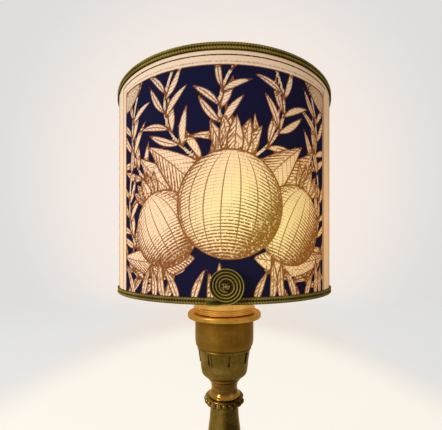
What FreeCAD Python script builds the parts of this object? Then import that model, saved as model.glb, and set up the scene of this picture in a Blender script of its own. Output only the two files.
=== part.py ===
import FreeCAD, Part
import math
import os

import Sketcher

# A brass table lamp with a printed drum shade.
# Millimetres, +Z up. The origin is on the table, under the centre of the foot, and the
# lamp's front, where the braid rosette is, faces -Y.

# Driving sizes
SIZES = {
    # Clearances
    "slip": 0.1,                # between turned pieces that slide together
    "gap": 0.3,                 # between pieces that move apart
    # Foot
    "baize_thick": 1.5,
    "baize_inset": 0.6,         # of the baize, from the foot's edge
    "foot_radius": 62.0,
    "foot_band": 12.5,          # height of the upright band round the foot
    "foot_wall": 1.4,
    "foot_height": 27.0,        # of the brass foot, above the baize
    "foot_step": 10.5,          # how far the foot steps in above its band
    "foot_boss": 17.0,          # radius of the round top that the stem stands on
    "foot_plate": 2.5,          # thickness of that top
    "weight_clear": 1.5,        # from the weight to the inner end of the cord bush
    "weight_thick": 9.0,
    "weight_boss": 12.0,
    "weight_recess": 14.0,      # radius of the recess for the nut and its washer
    "recess_depth": 6.5,
    "cord_slot": 8.0,           # width of the channel for the cord
    # Cord bush in the back of the foot
    "bush_radius": 4.5,
    "bush_bore": 3.5,
    "bush_flange": 6.2,
    "bush_flange_thick": 1.8,
    "bush_length": 6.5,
    "bush_height": 6.2,         # of its axis, above the baize
    # Tie rod, its washer and nut
    "rod_radius": 5.0,
    "rod_bore": 3.6,
    "rod_start": 1.6,           # of its lower end, above the baize
    "rod_grip": 8.0,            # how far it screws into the lampholder
    "washer_radius": 11.0,
    "washer_thick": 1.2,
    "nut_flats": 14.0,
    "nut_thick": 3.0,
    # Turned stem
    "column_length": 147.3,
    "column_base": 15.0,
    "column_waist": 9.2,
    "waist_height": 14.0,
    "waist_long": 4.0,
    "column_belly": 14.6,
    "column_shoulder": 10.8,
    "column_top": 9.85,
    "belly_height": 50.0,
    "shoulder_drop": 14.0,      # how far below the stem's top it is widest again
    # Gadrooned collar
    "collar_height": 6.2,
    "collar_fillet": 10.0,
    "collar_core": 12.4,
    "collar_rim": 12.9,         # radius of the plain rim above the lobes
    "gadroon_count": 20,
    "gadroon_long": 2.4,        # half the length of one lobe
    "gadroon_wide": 1.9,        # half its width
    "gadroon_tilt": 28.0,       # degrees that the lobes lean outwards
    "gadroon_height": 3.3,      # of the lobes' centres
    "gadroon_place": 12.1,      # radius of the circle of lobes
    # Neck
    "neck_height": 13.2,
    "neck_lip": 11.0,
    "neck_waist": 8.9,
    "neck_flange": 11.2,
    # Lampholder cap
    "cap_height": 21.9,
    "cap_base": 10.8,
    "cap_round": 14.4,
    "cap_low": 15.9,
    "cap_top": 17.9,
    "cap_wall": 1.1,
    "cap_bead": 18.5,
    "bead_height": 2.0,
    "cap_boss": 7.5,
    "boss_height": 8.0,
    "skirt_radius": 17.7,       # of the threaded skirt inside the jacket
    "skirt_height": 6.0,
    "insert_ledge": 15.0,       # height of the ledge that the porcelain sits on
    "rib_count": 8,
    "rib_wide": 1.3,
    "rib_proud": 0.6,
    "rib_long": 8.2,
    "rib_turn": 14.0,           # degrees from the front to the first rib
    "vent_wide": 1.5,
    "flute_deep": 0.55,         # of the groove that runs up from each vent
    "lock_radius": 1.5,
    "lock_length": 3.4,
    "lock_height": 5.5,
    # Lampholder jacket
    "jacket_height": 40.4,
    "jacket_radius": 20.3,
    "jacket_foot": 18.95,       # radius where its lower edge rounds in
    "jacket_bore": 18.0,
    "ring_seat": 19.6,          # height of the shoulder under the shade ring
    "shade_thread": 19.1,       # crest radius of the thread for the shade rings
    "shade_thread_deep": 0.6,
    "shade_thread_pitch": 1.8,
    "shade_thread_turns": 9,
    "shade_ridge_root": 0.75,   # half width of the thread's ridge where it leaves the wall
    "shade_ridge_crest": 0.2,   # half width of the ridge at its crest
    "jacket_throat": 17.6,
    # Porcelain, contacts and screw shell
    "insert_radius": 16.1,
    "insert_foot": 13.6,
    "insert_drop": 5.0,
    "insert_rise": 10.8,
    "terminal_long": 6.0,
    "terminal_wide": 5.0,
    "terminal_deep": 4.6,
    "terminal_place": 8.6,
    "terminal_screw": 1.4,
    "leaf_thick": 0.4,
    "leaf_wide": 5.0,
    "leaf_start": 8.0,
    "rivet_radius": 1.0,
    "rivet_height": 0.7,
    "rivet_place": 10.7,
    "shell_bore": 13.35,
    "shell_crest": 12.43,       # radius that the shell's thread leaves clear
    "shell_turns": 5.5,
    "shell_wall": 0.45,
    "shell_clear": 0.5,         # from the shell's top to the plain rim of the lamp's cap
    "ridge_set": 0.02,          # from a thread's ridge to the wall that carries it
    "shell_base": 0.6,
    "shell_hole": 9.4,
    "sleeve_bore": 14.3,
    "sleeve_radius": 16.0,
    "sleeve_height": 31.5,
    # Shade rings
    "ring_radius": 25.4,
    "ring_thick": 3.9,
    "ring_dish": 0.5,           # how far its top face lies below its rolled edge
    "clamp_radius": 24.0,
    "clamp_thick": 3.5,
    "knurl_count": 36,
    # Shade carrier
    "fitter_height": 10.3,
    "fitter_radius": 20.4,
    "fitter_lip": 20.9,
    "fitter_bore": 19.6,
    "fitter_flange": 23.0,
    "spider_hub": 27.0,
    "spider_plate": 1.2,
    "arm_radius": 1.1,
    "arm_count": 3,
    "arm_turn": 90.0,           # degrees from the right side to the first arm, at the back
    "hoop_wire": 1.3,
    "weld_gap": 0.05,           # from an arm's ends to the plate and the hoop
    # Shade
    "shade_rise": 5.8,          # of the braid's lower edge above the spider
    "shade_height": 123.5,      # over both braids
    "shade_radius": 69.4,       # outside of the printed cloth
    "cloth_thick": 0.8,
    "liner_thick": 0.5,
    "braid_clear": 0.05,        # from the cloth to the back of the braid
    "braid_thick": 1.15,
    "braid_high": 3.9,
    "braid_overhang": 0.4,      # how far the braid stands past the cloth's edge
    # Braid rosette
    "rosette_side": 0.7,        # of its centre, to the right of the lamp's axis
    "rosette_height": 9.7,      # of its centre, above the braid's lower edge
    "rosette_radius": 7.9,
    "rosette_pitch": 1.45,
    "rosette_half_turns": 8,
    "strip_thick": 0.95,
    "strip_wide": 3.6,
    "tail_length": 9.5,
    # Lamp
    "contact_rise": 4.5,        # of the lamp's lowest point above the screw shell's base
    "contact_radius": 4.4,
    "contact_thick": 1.4,
    "vitrite_radius": 11.65,
    "vitrite_height": 5.6,
    "lamp_pitch": 3.629,        # of the Edison thread
    "lamp_root": 12.1,
    "lamp_crest": 13.0,
    "lamp_turns": 3.25,
    "ridge_root": 1.1,          # half width of the Edison ridge where it leaves the wall
    "ridge_crest": 0.45,        # half width of the ridge at its crest
    "lamp_wall": 0.4,
    "lamp_thread_start": 5.0,
    "lamp_thread_long": 15.5,   # of the cap's wall that carries the thread
    "lamp_ridge_start": 6.6,
    "lamp_rim": 13.03,
    "lamp_cap_height": 25.5,
    "shoulder_thick": 0.8,      # of the cap's shoulder, which the glass stands on
    "glass_wall": 0.7,
    "glass_neck": 12.1,
    "glass_throat": 14.4,
    "glass_ball": 30.0,
    "lamp_length": 106.0,
    "stem_radius": 3.2,
    "stem_height": 30.0,
    "lead_radius": 0.3,
    "filament_radius": 8.0,
    "filament_wire": 0.35,
    "filament_height": 50.0,    # above the lamp's cap
}

doc = FreeCAD.newDocument("table_lamp")
sheet = doc.addObject("Spreadsheet::Sheet", "Dims")
for row, (alias, number) in enumerate(SIZES.items(), start=1):
    sheet.set("A%d" % row, alias)
    sheet.set("B%d" % row, str(number))
    sheet.setAlias("B%d" % row, alias)
doc.recompute()


class Size:
    """A length in millimetres, with the sheet formula that gives it."""

    def __init__(self, value, text):
        self.value = value
        self.text = text

    def __add__(self, other):
        other = size_of(other)
        return Size(self.value + other.value, "(%s + %s)" % (self.text, other.text))

    def __sub__(self, other):
        other = size_of(other)
        return Size(self.value - other.value, "(%s - %s)" % (self.text, other.text))

    def __mul__(self, other):
        other = size_of(other)
        return Size(self.value * other.value, "(%s * %s)" % (self.text, other.text))

    def __truediv__(self, other):
        other = size_of(other)
        return Size(self.value / other.value, "(%s / %s)" % (self.text, other.text))

    def __neg__(self):
        return Size(-self.value, "(0 - %s)" % self.text)

    __radd__ = __add__
    __rmul__ = __mul__

    def __rsub__(self, other):
        return size_of(other) - self


def size_of(number):
    """Any number as a Size."""
    if isinstance(number, Size):
        return number
    return Size(float(number), repr(float(number)))


class Sheet:
    """The sheet's sizes by name."""


D = Sheet()
for alias, number in SIZES.items():
    setattr(D, alias, Size(float(number), "Dims." + alias))

# Heights of the stack, each from the piece below it, and the radii that pieces share
foot_z = D.baize_thick
column_z = foot_z + D.foot_height
collar_z = column_z + D.column_length
neck_z = collar_z + D.collar_height
cap_z = neck_z + D.neck_height
jacket_z = cap_z + D.cap_height
ring_z = jacket_z + D.ring_seat
fitter_z = ring_z + D.ring_thick - D.ring_dish + D.gap
spider_z = fitter_z + D.fitter_height
clamp_z = spider_z + D.spider_plate + D.gap
insert_z = cap_z + D.insert_ledge
shell_z = insert_z + D.insert_rise
lamp_z = shell_z + D.contact_rise
shade_z = spider_z + D.shade_rise
rod_hole = D.rod_radius + D.slip
weight_radius = D.foot_radius - D.bush_length - D.weight_clear
braid_back = D.shade_radius + D.braid_clear
braid_front = braid_back + D.braid_thick

parts = []


def bind(thing, field, size):
    """Tie one field of an object to the sheet."""
    thing.setExpression(field, size_of(size).text)


def place(thing, label, x=0, y=0, z=0, turn=None):
    """Name a finished sub-part, stand it in the lamp and list it."""
    thing.Label = label
    base = FreeCAD.Vector(size_of(x).value, size_of(y).value, size_of(z).value)
    thing.Placement = FreeCAD.Placement(base, turn or FreeCAD.Rotation())
    for axis, size in (("x", x), ("y", y), ("z", z)):
        if isinstance(size, Size):
            bind(thing, "Placement.Base." + axis, size)
    parts.append(thing)
    return thing


def new_body(label):
    return doc.addObject("PartDesign::Body", label)


def origin_plane(body, role):
    """One of the body's own origin planes or axes."""
    for feature in body.Origin.OriginFeatures:
        if feature.Role == role:
            return feature


def new_sketch(body, name, role="XY_Plane"):
    sketch = body.newObject("Sketcher::SketchObject", name)
    sketch.AttachmentSupport = (origin_plane(body, role), [""])
    sketch.MapMode = "FlatFace"
    return sketch


def fix_length(sketch, kind, first, second, size):
    """One driving length between two points of a sketch, tied to the sheet."""
    if size.value < 0:
        first, second, size = second, first, -size
    index = sketch.addConstraint(Sketcher.Constraint(kind, *first, *second, size.value))
    bind(sketch, "Constraints[%d]" % index, size)


def pin_point(sketch, side, end, x, y):
    """Hold one corner of a sketch at x, y from its origin."""
    for kind, size, axis in (("DistanceX", x, -2), ("DistanceY", y, -1)):
        if size.value == 0:
            sketch.addConstraint(Sketcher.Constraint("PointOnObject", side, end, axis))
        else:
            fix_length(sketch, kind, (-1, 1), (side, end), size)


def draw_outline(sketch, corners):
    """A closed outline, drawn anticlockwise. A corner is (x, y), or (x, y, bulge) where the
    side that ends there is an arc: bulge is its height, below zero where it is hollow."""
    corners = [tuple(size_of(number) for number in corner) for corner in corners]
    ends = []
    arcs = []
    for index, corner in enumerate(corners):
        after = corners[(index + 1) % len(corners)]
        start = FreeCAD.Vector(corner[0].value, corner[1].value, 0)
        stop = FreeCAD.Vector(after[0].value, after[1].value, 0)
        if len(after) == 2:
            sketch.addGeometry(Part.LineSegment(start, stop), False)
            ends.append((1, 2))
            continue
        bulge = after[2]
        outwards = FreeCAD.Vector(stop.y - start.y, start.x - stop.x, 0).normalize()
        middle = (start + stop) * 0.5 + outwards * bulge.value
        if bulge.value > 0:
            sketch.addGeometry(Part.Arc(start, middle, stop), False)
            ends.append((1, 2))
        else:
            sketch.addGeometry(Part.Arc(stop, middle, start), False)
            ends.append((2, 1))
            bulge = -bulge
        wide = after[0] - corner[0]
        high = after[1] - corner[1]
        radius = ((wide * wide + high * high) / 4 + bulge * bulge) / (2 * bulge)
        arcs.append((index, radius))
    for index in range(len(corners)):
        after = (index + 1) % len(corners)
        meet = Sketcher.Constraint("Coincident", index, ends[index][1], after, ends[after][0])
        sketch.addConstraint(meet)
    for index, corner in enumerate(corners):
        pin_point(sketch, index, ends[index][0], corner[0], corner[1])
    for index, radius in arcs:
        number = sketch.addConstraint(Sketcher.Constraint("Radius", index, radius.value))
        bind(sketch, "Constraints[%d]" % number, radius)


def draw_circle(sketch, radius):
    """A circle round the sketch's origin."""
    circle = Part.Circle(FreeCAD.Vector(0, 0, 0), FreeCAD.Vector(0, 0, 1), radius.value)
    index = sketch.addGeometry(circle, False)
    sketch.addConstraint(Sketcher.Constraint("Coincident", index, 3, -1, 1))
    number = sketch.addConstraint(Sketcher.Constraint("Radius", index, radius.value))
    bind(sketch, "Constraints[%d]" % number, radius)


def turned(label, corners):
    """A body turned about its own Z axis from an outline of (radius, height) corners."""
    body = new_body(label)
    sketch = new_sketch(body, label + "_section", "XZ_Plane")
    draw_outline(sketch, corners)
    turn = body.newObject("PartDesign::Revolution", label + "_turning")
    turn.Profile = sketch
    turn.ReferenceAxis = (sketch, ["V_Axis"])
    turn.Angle = 360
    return body


def padded(label, length, draw):
    """A body raised from a sketch on its base plane, which draw fills in."""
    body = new_body(label)
    sketch = new_sketch(body, label + "_plan")
    draw(sketch)
    pad = body.newObject("PartDesign::Pad", label + "_pad")
    pad.Profile = sketch
    bind(pad, "Length", length)
    return body


def tube(label, bore, radius, length):
    """A plain tube or washer."""
    def draw(sketch):
        draw_circle(sketch, size_of(radius))
        draw_circle(sketch, size_of(bore))
    return padded(label, length, draw)


def lodge(feature, body, at, turn=None):
    """Set a primitive of a body at a corner or centre measured from the body's origin."""
    feature.AttachmentSupport = (origin_plane(body, "XY_Plane"), [""])
    feature.MapMode = "FlatFace"
    at = [size_of(number) for number in at]
    base = FreeCAD.Vector(*[size.value for size in at])
    feature.AttachmentOffset = FreeCAD.Placement(base, turn or FreeCAD.Rotation())
    for axis, size in zip("xyz", at):
        bind(feature, "AttachmentOffset.Base." + axis, size)


def box_in(body, kind, name, sides, at, turn=None):
    """An added or cut box: kind is Additive or Subtractive."""
    box = body.newObject("PartDesign::%sBox" % kind, name)
    for field, side in zip(("Length", "Width", "Height"), sides):
        bind(box, field, side)
    lodge(box, body, at, turn)
    return box


def hole_in(body, name, radius, length, at, turn=None):
    """A round hole cut along the primitive's own Z axis."""
    hole = body.newObject("PartDesign::SubtractiveCylinder", name)
    bind(hole, "Radius", radius)
    bind(hole, "Height", length)
    lodge(hole, body, at, turn)
    return hole


def repeat_round(body, feature, name, count):
    """Repeat one feature of a body about its Z axis."""
    ring = body.newObject("PartDesign::PolarPattern", name)
    ring.Originals = [feature]
    ring.Axis = (origin_plane(body, "Z_Axis"), [""])
    ring.Angle = 360
    bind(ring, "Occurrences", count)
    body.Tip = ring


def rod_at(name, radius, length, x, y, z, turn=None):
    """A loose cylinder, for a group of like pieces."""
    rod = doc.addObject("Part::Cylinder", name)
    bind(rod, "Radius", radius)
    bind(rod, "Height", length)
    base = [size_of(x), size_of(y), size_of(z)]
    vector = FreeCAD.Vector(*[size.value for size in base])
    rod.Placement = FreeCAD.Placement(vector, turn or FreeCAD.Rotation())
    for axis, size in zip("xyz", base):
        bind(rod, "Placement.Base." + axis, size)
    return rod


def group(label, pieces):
    """Like pieces that share one node, each its own solid."""
    bundle = doc.addObject("Part::Compound", label + "_group")
    bundle.Links = pieces
    return bundle


def thread_ridge(root, crest, root_half, crest_half, pitch, turns):
    """The ridge of a right-hand thread, a solid of its own that starts at zero height on the
    right side. It has the two half widths given, and runs out over its first and last
    quarter turns. The crest is the smaller radius on an inside thread."""
    per_turn = 24
    turns = turns.value
    rails = []
    for side, radius, half in ((-1, root, root_half), (-1, crest, crest_half),
                               (1, crest, crest_half), (1, root, root_half)):
        points = []
        for step in range(round(per_turn * turns) + 1):
            turned_so_far = step / per_turn
            share = min(1, 0.25 + 3 * turned_so_far, 0.25 + 3 * (turns - turned_so_far))
            reach = (root + (radius - root) * share).value
            angle = 2 * math.pi * turned_so_far
            height = (pitch * turned_so_far + half * side * share).value
            points.append(FreeCAD.Vector(reach * math.cos(angle), reach * math.sin(angle), height))
        rail = Part.BSplineCurve()
        rail.interpolate(points)
        rails.append(rail.toShape())
    faces = [Part.makeRuledSurface(rails[index], rails[(index + 1) % 4]) for index in range(4)]
    for end in (0, -1):
        corners = [rail.Vertexes[end].Point for rail in rails]
        faces.append(Part.Face(Part.makePolygon(corners + corners[:1])))
    shell = Part.makeShell(faces)
    shell.sewShape()
    solid = Part.Solid(shell)
    if solid.Volume < 0:
        solid.reverse()
    return solid


def shaped(label, shape, z=0):
    """An object that holds a shape made with the kernel's own functions."""
    thing = doc.addObject("Part::Feature", label)
    thing.Shape = shape
    thing.Placement.Base.z = size_of(z).value
    bind(thing, "Placement.Base.z", z)
    return thing


def part_foot():
    """Felt, spun brass foot, iron weight and the bush that the cord leaves by."""
    felt = padded("foot_pad", D.baize_thick,
                  lambda sketch: draw_circle(sketch, D.foot_radius - D.baize_inset))
    place(felt, "foot_pad")

    step_z = D.foot_band + 1.6
    cove_z = D.foot_band + 3.4
    neck_z_low = D.foot_height - 4.5
    foot = turned("foot", [
        (D.foot_radius - D.foot_wall, 0),
        (D.foot_radius, 0),
        (D.foot_radius, D.foot_band),
        (D.foot_radius - 1.8, step_z, 0.5),
        (D.foot_radius - D.foot_step + 1.5, step_z),
        (D.foot_radius - D.foot_step, cove_z, -0.35),
        (D.foot_boss + 5, neck_z_low, -3.2),
        (D.foot_boss, D.foot_height - 1.6, -0.7),
        (D.foot_boss - 1.4, D.foot_height, 0.4),
        (rod_hole, D.foot_height),
        (rod_hole, D.foot_height - D.foot_plate),
        (D.foot_boss - 1.5, D.foot_height - D.foot_plate),
        (D.foot_boss + 5, neck_z_low - D.foot_wall - 0.4, 0.5),
        (D.foot_radius - D.foot_step - D.foot_wall, cove_z - 0.5, 3.0),
        (D.foot_radius - D.foot_step, step_z - D.foot_wall),
        (D.foot_radius - D.foot_wall, step_z - D.foot_wall),
    ])
    through = hole_in(foot, "cord_hole", D.bush_radius + D.slip, D.foot_step,
                      (0, D.foot_radius - D.foot_step / 2, D.bush_height),
                      FreeCAD.Rotation(FreeCAD.Vector(1, 0, 0), -90))
    foot.Tip = through
    place(foot, "foot", z=foot_z)

    weight = turned("foot_weight", [
        (rod_hole, D.recess_depth),
        (D.weight_recess, D.recess_depth),
        (D.weight_recess, 0),
        (weight_radius, 0),
        (weight_radius, D.weight_thick),
        (D.weight_boss, D.weight_thick),
        (D.weight_boss, D.foot_height - D.foot_plate),
        (rod_hole, D.foot_height - D.foot_plate),
    ])
    slot = box_in(weight, "Subtractive", "cord_channel",
                  (D.cord_slot, weight_radius, D.weight_thick),
                  (-D.cord_slot / 2, D.weight_boss + 0.5, 0))
    weight.Tip = slot
    place(weight, "foot_weight", z=foot_z)

    bush = turned("cable_bush", [
        (D.bush_bore, 0),
        (D.bush_radius, 0),
        (D.bush_radius, D.bush_length),
        (D.bush_flange, D.bush_length),
        (D.bush_flange - 0.7, D.bush_length + D.bush_flange_thick, 0.35),
        (D.bush_bore, D.bush_length + D.bush_flange_thick),
    ])
    place(bush, "cable_bush", y=D.foot_radius - D.bush_length, z=foot_z + D.bush_height,
          turn=FreeCAD.Rotation(FreeCAD.Vector(1, 0, 0), -90))


def part_tie_rod():
    """The hollow rod that clamps the stack together, with its washer and nut."""
    rod_length = cap_z + D.rod_grip - foot_z - D.rod_start
    place(tube("tie_rod", D.rod_bore, D.rod_radius, rod_length), "tie_rod", z=foot_z + D.rod_start)

    washer_z = foot_z + D.recess_depth - D.washer_thick
    washer = tube("bottom_washer", rod_hole, D.washer_radius, D.washer_thick)
    place(washer, "bottom_washer", z=washer_z)

    def hexagon(sketch):
        across = D.nut_flats / math.sqrt(3)
        corners = []
        for corner in range(6):
            angle = math.radians(60 * corner)
            corners.append((across * math.cos(angle), across * round(math.sin(angle), 9)))
        draw_outline(sketch, corners)
        draw_circle(sketch, rod_hole)

    nut = padded("bottom_nut", D.nut_thick, hexagon)
    place(nut, "bottom_nut", z=washer_z - D.nut_thick)


def part_stem():
    """Turned stem, gadrooned collar and neck."""
    column = turned("column", [
        (rod_hole, 0),
        (D.column_base, 0),
        (D.column_base, 3.2, 0.7),
        (D.column_base - 3, 4.8, -0.4),
        (D.column_base - 3, 6.2),
        (D.column_waist, D.waist_height, -1.2),
        (D.column_waist, D.waist_height + D.waist_long, 1.7),
        (D.column_belly, D.belly_height, 1.4),
        (D.column_shoulder, D.column_length - D.shoulder_drop, 1.6),
        (D.column_top, D.column_length, -0.3),
        (rod_hole, D.column_length),
    ])
    place(column, "column", z=column_z)

    collar = turned("gadroon_collar", [
        (rod_hole, 0),
        (D.collar_fillet, 0),
        (D.collar_fillet, 1.2, 0.4),
        (D.collar_core, D.collar_height - 2.2, 0.4),
        (D.collar_rim, D.collar_height - 1.2, -0.3),
        (D.collar_rim - 0.5, D.collar_height, 0.5),
        (rod_hole, D.collar_height),
    ])
    lobe = collar.newObject("PartDesign::AdditiveEllipsoid", "gadroon")
    bind(lobe, "Radius1", D.gadroon_long)
    bind(lobe, "Radius2", D.gadroon_wide)
    bind(lobe, "Radius3", D.gadroon_wide)
    tilt = FreeCAD.Rotation(FreeCAD.Vector(0, 1, 0), D.gadroon_tilt.value)
    lodge(lobe, collar, (D.gadroon_place, 0, D.gadroon_height), tilt)
    bind(lobe, "AttachmentOffset.Rotation.Angle", D.gadroon_tilt)
    repeat_round(collar, lobe, "gadroons", D.gadroon_count)
    place(collar, "gadroon_collar", z=collar_z)

    neck = turned("neck", [
        (rod_hole, 0),
        (D.neck_lip - 0.6, 0),
        (D.neck_lip, 0.6, 0.2),
        (D.neck_lip - 0.4, 1.2, 0.3),
        (D.neck_waist + 0.6, 3.0, -0.2),
        (D.neck_waist, 5.6, -0.1),
        (D.neck_waist + 1.0, D.neck_height - 3.0, -0.15),
        (D.neck_flange, D.neck_height - 1.4, -0.25),
        (D.neck_flange, D.neck_height),
        (rod_hole, D.neck_height),
    ])
    place(neck, "neck", z=neck_z)


def part_holder_cap():
    """Lower half of the lampholder, with its ribs, vents and lock screw."""
    bead_z = D.cap_height - 0.5 - D.bead_height
    skirt_top = D.cap_height + D.skirt_height
    cap = turned("holder_cap", [
        (rod_hole, 0),
        (D.cap_base, 0),
        (D.cap_round, 1.9, 0.35),
        (D.cap_low, 4.4, 0.35),
        (D.cap_top - 1.3, bead_z * 0.55, 0.1),
        (D.cap_top, bead_z, 0.05),
        (D.cap_bead, bead_z + 0.5, 0.12),
        (D.cap_bead, bead_z + D.bead_height, 0.3),
        (D.jacket_bore + D.gap, bead_z + D.bead_height),
        (D.jacket_bore + D.gap, D.cap_height),
        (D.skirt_radius, D.cap_height),
        (D.skirt_radius, skirt_top),
        (D.insert_radius + D.gap, skirt_top),
        (D.insert_radius + D.gap, D.insert_ledge),
        (D.cap_low - D.cap_wall + 0.3, D.insert_ledge),
        (D.cap_round - D.cap_wall, 3.0, -0.3),
        (D.cap_boss, 2.0, -0.2),
        (D.cap_boss, D.boss_height),
        (rod_hole, D.boss_height),
    ])
    lean = math.degrees(math.atan2(1.3, bead_z.value * 0.45))
    tilt = FreeCAD.Rotation(FreeCAD.Vector(1, 0, 0), lean)
    rib_low = bead_z + 0.3 - D.rib_long
    rib = box_in(cap, "Additive", "rib", (D.rib_wide, 1.6, D.rib_long),
                 (-D.rib_wide / 2, -(D.cap_top - 1.3 + D.rib_proud), rib_low), tilt)
    repeat_round(cap, rib, "ribs", D.rib_count)
    beside = -D.rib_wide / 2 - D.vent_wide
    vent_low = rib_low + 0.4
    vent = box_in(cap, "Subtractive", "vent",
                  (D.vent_wide, D.cap_wall * 3, D.insert_ledge - D.gap - vent_low),
                  (beside, -(D.cap_top + 1), vent_low))
    repeat_round(cap, vent, "vents", D.rib_count)
    flute = box_in(cap, "Subtractive", "flute", (D.vent_wide, 2.0, D.rib_long - 0.8),
                   (beside, -(D.cap_top - 1.3 + 2.0 - D.flute_deep), vent_low), tilt)
    repeat_round(cap, flute, "flutes", D.rib_count)
    screw_hole = hole_in(cap, "lock_hole", D.lock_radius + D.slip, D.cap_boss - rod_hole + 2,
                         (rod_hole - 1, 0, D.lock_height),
                         FreeCAD.Rotation(FreeCAD.Vector(0, 1, 0), 90))
    cap.Tip = screw_hole
    place(cap, "holder_cap", z=cap_z, turn=FreeCAD.Rotation(FreeCAD.Vector(0, 0, 1), D.rib_turn.value))
    bind(cap, "Placement.Rotation.Angle", D.rib_turn)

    lock = padded("cap_lock_screw", D.lock_length, lambda sketch: draw_circle(sketch, D.lock_radius))
    nick = box_in(lock, "Subtractive", "lock_nick", (2 * D.lock_radius, 0.6, 0.8),
                  (-D.lock_radius, -0.3, D.lock_length - 0.8))
    lock.Tip = nick
    swing = FreeCAD.Rotation(FreeCAD.Vector(0, 0, 1), D.rib_turn.value)
    upright = FreeCAD.Rotation(FreeCAD.Vector(0, 1, 0), 90)
    turn_share = math.radians(D.rib_turn.value)
    reach = D.rod_radius + D.slip / 2
    place(lock, "cap_lock_screw", x=reach * math.cos(turn_share), y=reach * math.sin(turn_share),
          z=cap_z + D.lock_height, turn=swing * upright)


def part_insides():
    """Porcelain, terminals, contacts, screw shell and its insulating sleeve."""
    insert = turned("porcelain_insert", [
        (0, -D.insert_drop),
        (D.insert_foot, -D.insert_drop),
        (D.insert_foot, 0),
        (D.insert_radius, 0),
        (D.insert_radius, D.insert_rise),
        (0, D.insert_rise),
    ])
    room = 2 * D.slip
    for side, name in ((1, "pocket_right"), (-1, "pocket_left")):
        pocket = box_in(insert, "Subtractive", name,
                        (D.terminal_wide + room, D.terminal_long + room, D.terminal_deep),
                        (side * D.terminal_place - (D.terminal_wide + room) / 2,
                         -(D.terminal_long + room) / 2, -D.insert_drop))
        insert.Tip = pocket
    place(insert, "porcelain_insert", z=insert_z)

    block_z = insert_z - D.insert_drop
    blocks = []
    screws = []
    for side, name in ((1, "right"), (-1, "left")):
        block = doc.addObject("Part::Box", "block_" + name)
        bind(block, "Length", D.terminal_wide)
        bind(block, "Width", D.terminal_long)
        bind(block, "Height", D.terminal_deep)
        bind(block, "Placement.Base.x", side * D.terminal_place - D.terminal_wide / 2)
        bind(block, "Placement.Base.y", -D.terminal_long / 2)
        blocks.append(block)
        screws.append(rod_at("screw_" + name, D.terminal_screw + 0.6, 1.0,
                             side * D.terminal_place, 0, -1))
    place(group("terminal_blocks", blocks), "terminal_blocks", z=block_z)
    place(group("terminal_screws", screws), "terminal_screws", z=block_z)

    leaf = new_body("centre_contact")
    side_view = new_sketch(leaf, "leaf_side", "XZ_Plane")
    crest = D.contact_rise - D.gap
    draw_outline(side_view, [
        (-D.leaf_start, 0),
        (-D.leaf_start + 4.5, 0),
        (0, crest - D.leaf_thick, 0.3),
        (3.5, crest - D.leaf_thick - 0.5, -0.25),
        (3.5, crest - 0.5),
        (0, crest, 0.25),
        (-D.leaf_start + 4.3, D.leaf_thick, -0.3),
        (-D.leaf_start, D.leaf_thick),
    ])
    strip = leaf.newObject("PartDesign::Pad", "leaf_strip")
    strip.Profile = side_view
    strip.Midplane = True
    bind(strip, "Length", D.leaf_wide)
    place(leaf, "centre_contact", z=shell_z)

    rivets = [rod_at("rivet_leaf", D.rivet_radius, D.rivet_height, -D.leaf_start + 2, 0, D.leaf_thick)]
    for side, name in ((1, "rivet_back"), (-1, "rivet_front")):
        rivets.append(rod_at(name, D.rivet_radius, D.rivet_height, 0, side * D.rivet_place, D.shell_base))
    place(group("contact_rivets", rivets), "contact_rivets", z=shell_z)

    shell_height = D.contact_rise + D.lamp_thread_start + D.lamp_thread_long - D.shell_clear
    shell_outside = D.shell_bore + D.shell_wall
    wall = turned("shell_wall_tube", [
        (D.shell_hole, 0),
        (shell_outside, 0),
        (shell_outside, shell_height),
        (D.shell_bore, shell_height),
        (D.shell_bore, D.shell_base),
        (D.shell_hole, D.shell_base),
    ])
    ridge = thread_ridge(D.shell_bore - D.ridge_set, D.shell_crest, D.ridge_root, D.ridge_crest,
                         D.lamp_pitch, D.shell_turns)
    ridge_start = D.contact_rise + D.lamp_ridge_start - D.lamp_pitch * 2.5
    thread = shaped("shell_thread", ridge, ridge_start)
    place(group("screw_shell", [wall, thread]), "screw_shell", z=shell_z)

    sleeve = tube("insulating_sleeve", D.sleeve_bore, D.sleeve_radius, D.sleeve_height)
    place(sleeve, "insulating_sleeve", z=shell_z)


def part_jacket():
    """Upper half of the lampholder, with the thread that the shade rings screw on."""
    thread_root = D.shade_thread - D.shade_thread_deep
    wall = turned("jacket_wall", [
        (D.jacket_bore, 0),
        (D.jacket_foot, 0),
        (D.jacket_radius - 0.4, 2.0, 0.3),
        (D.jacket_radius, 6.0, 0.1),
        (D.jacket_radius, D.ring_seat),
        (thread_root, D.ring_seat),
        (thread_root, D.jacket_height - 0.5),
        (thread_root - 0.5, D.jacket_height),
        (D.jacket_throat, D.jacket_height),
        (D.jacket_throat, D.skirt_height + 1.5),
        (D.jacket_bore, D.skirt_height + 1),
    ])
    ridge = thread_ridge(thread_root + D.ridge_set, D.shade_thread, D.shade_ridge_root,
                         D.shade_ridge_crest, D.shade_thread_pitch, D.shade_thread_turns)
    thread = shaped("jacket_thread", ridge, D.ring_seat + 1)
    place(group("holder_jacket", [wall, thread]), "holder_jacket", z=jacket_z)


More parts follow.
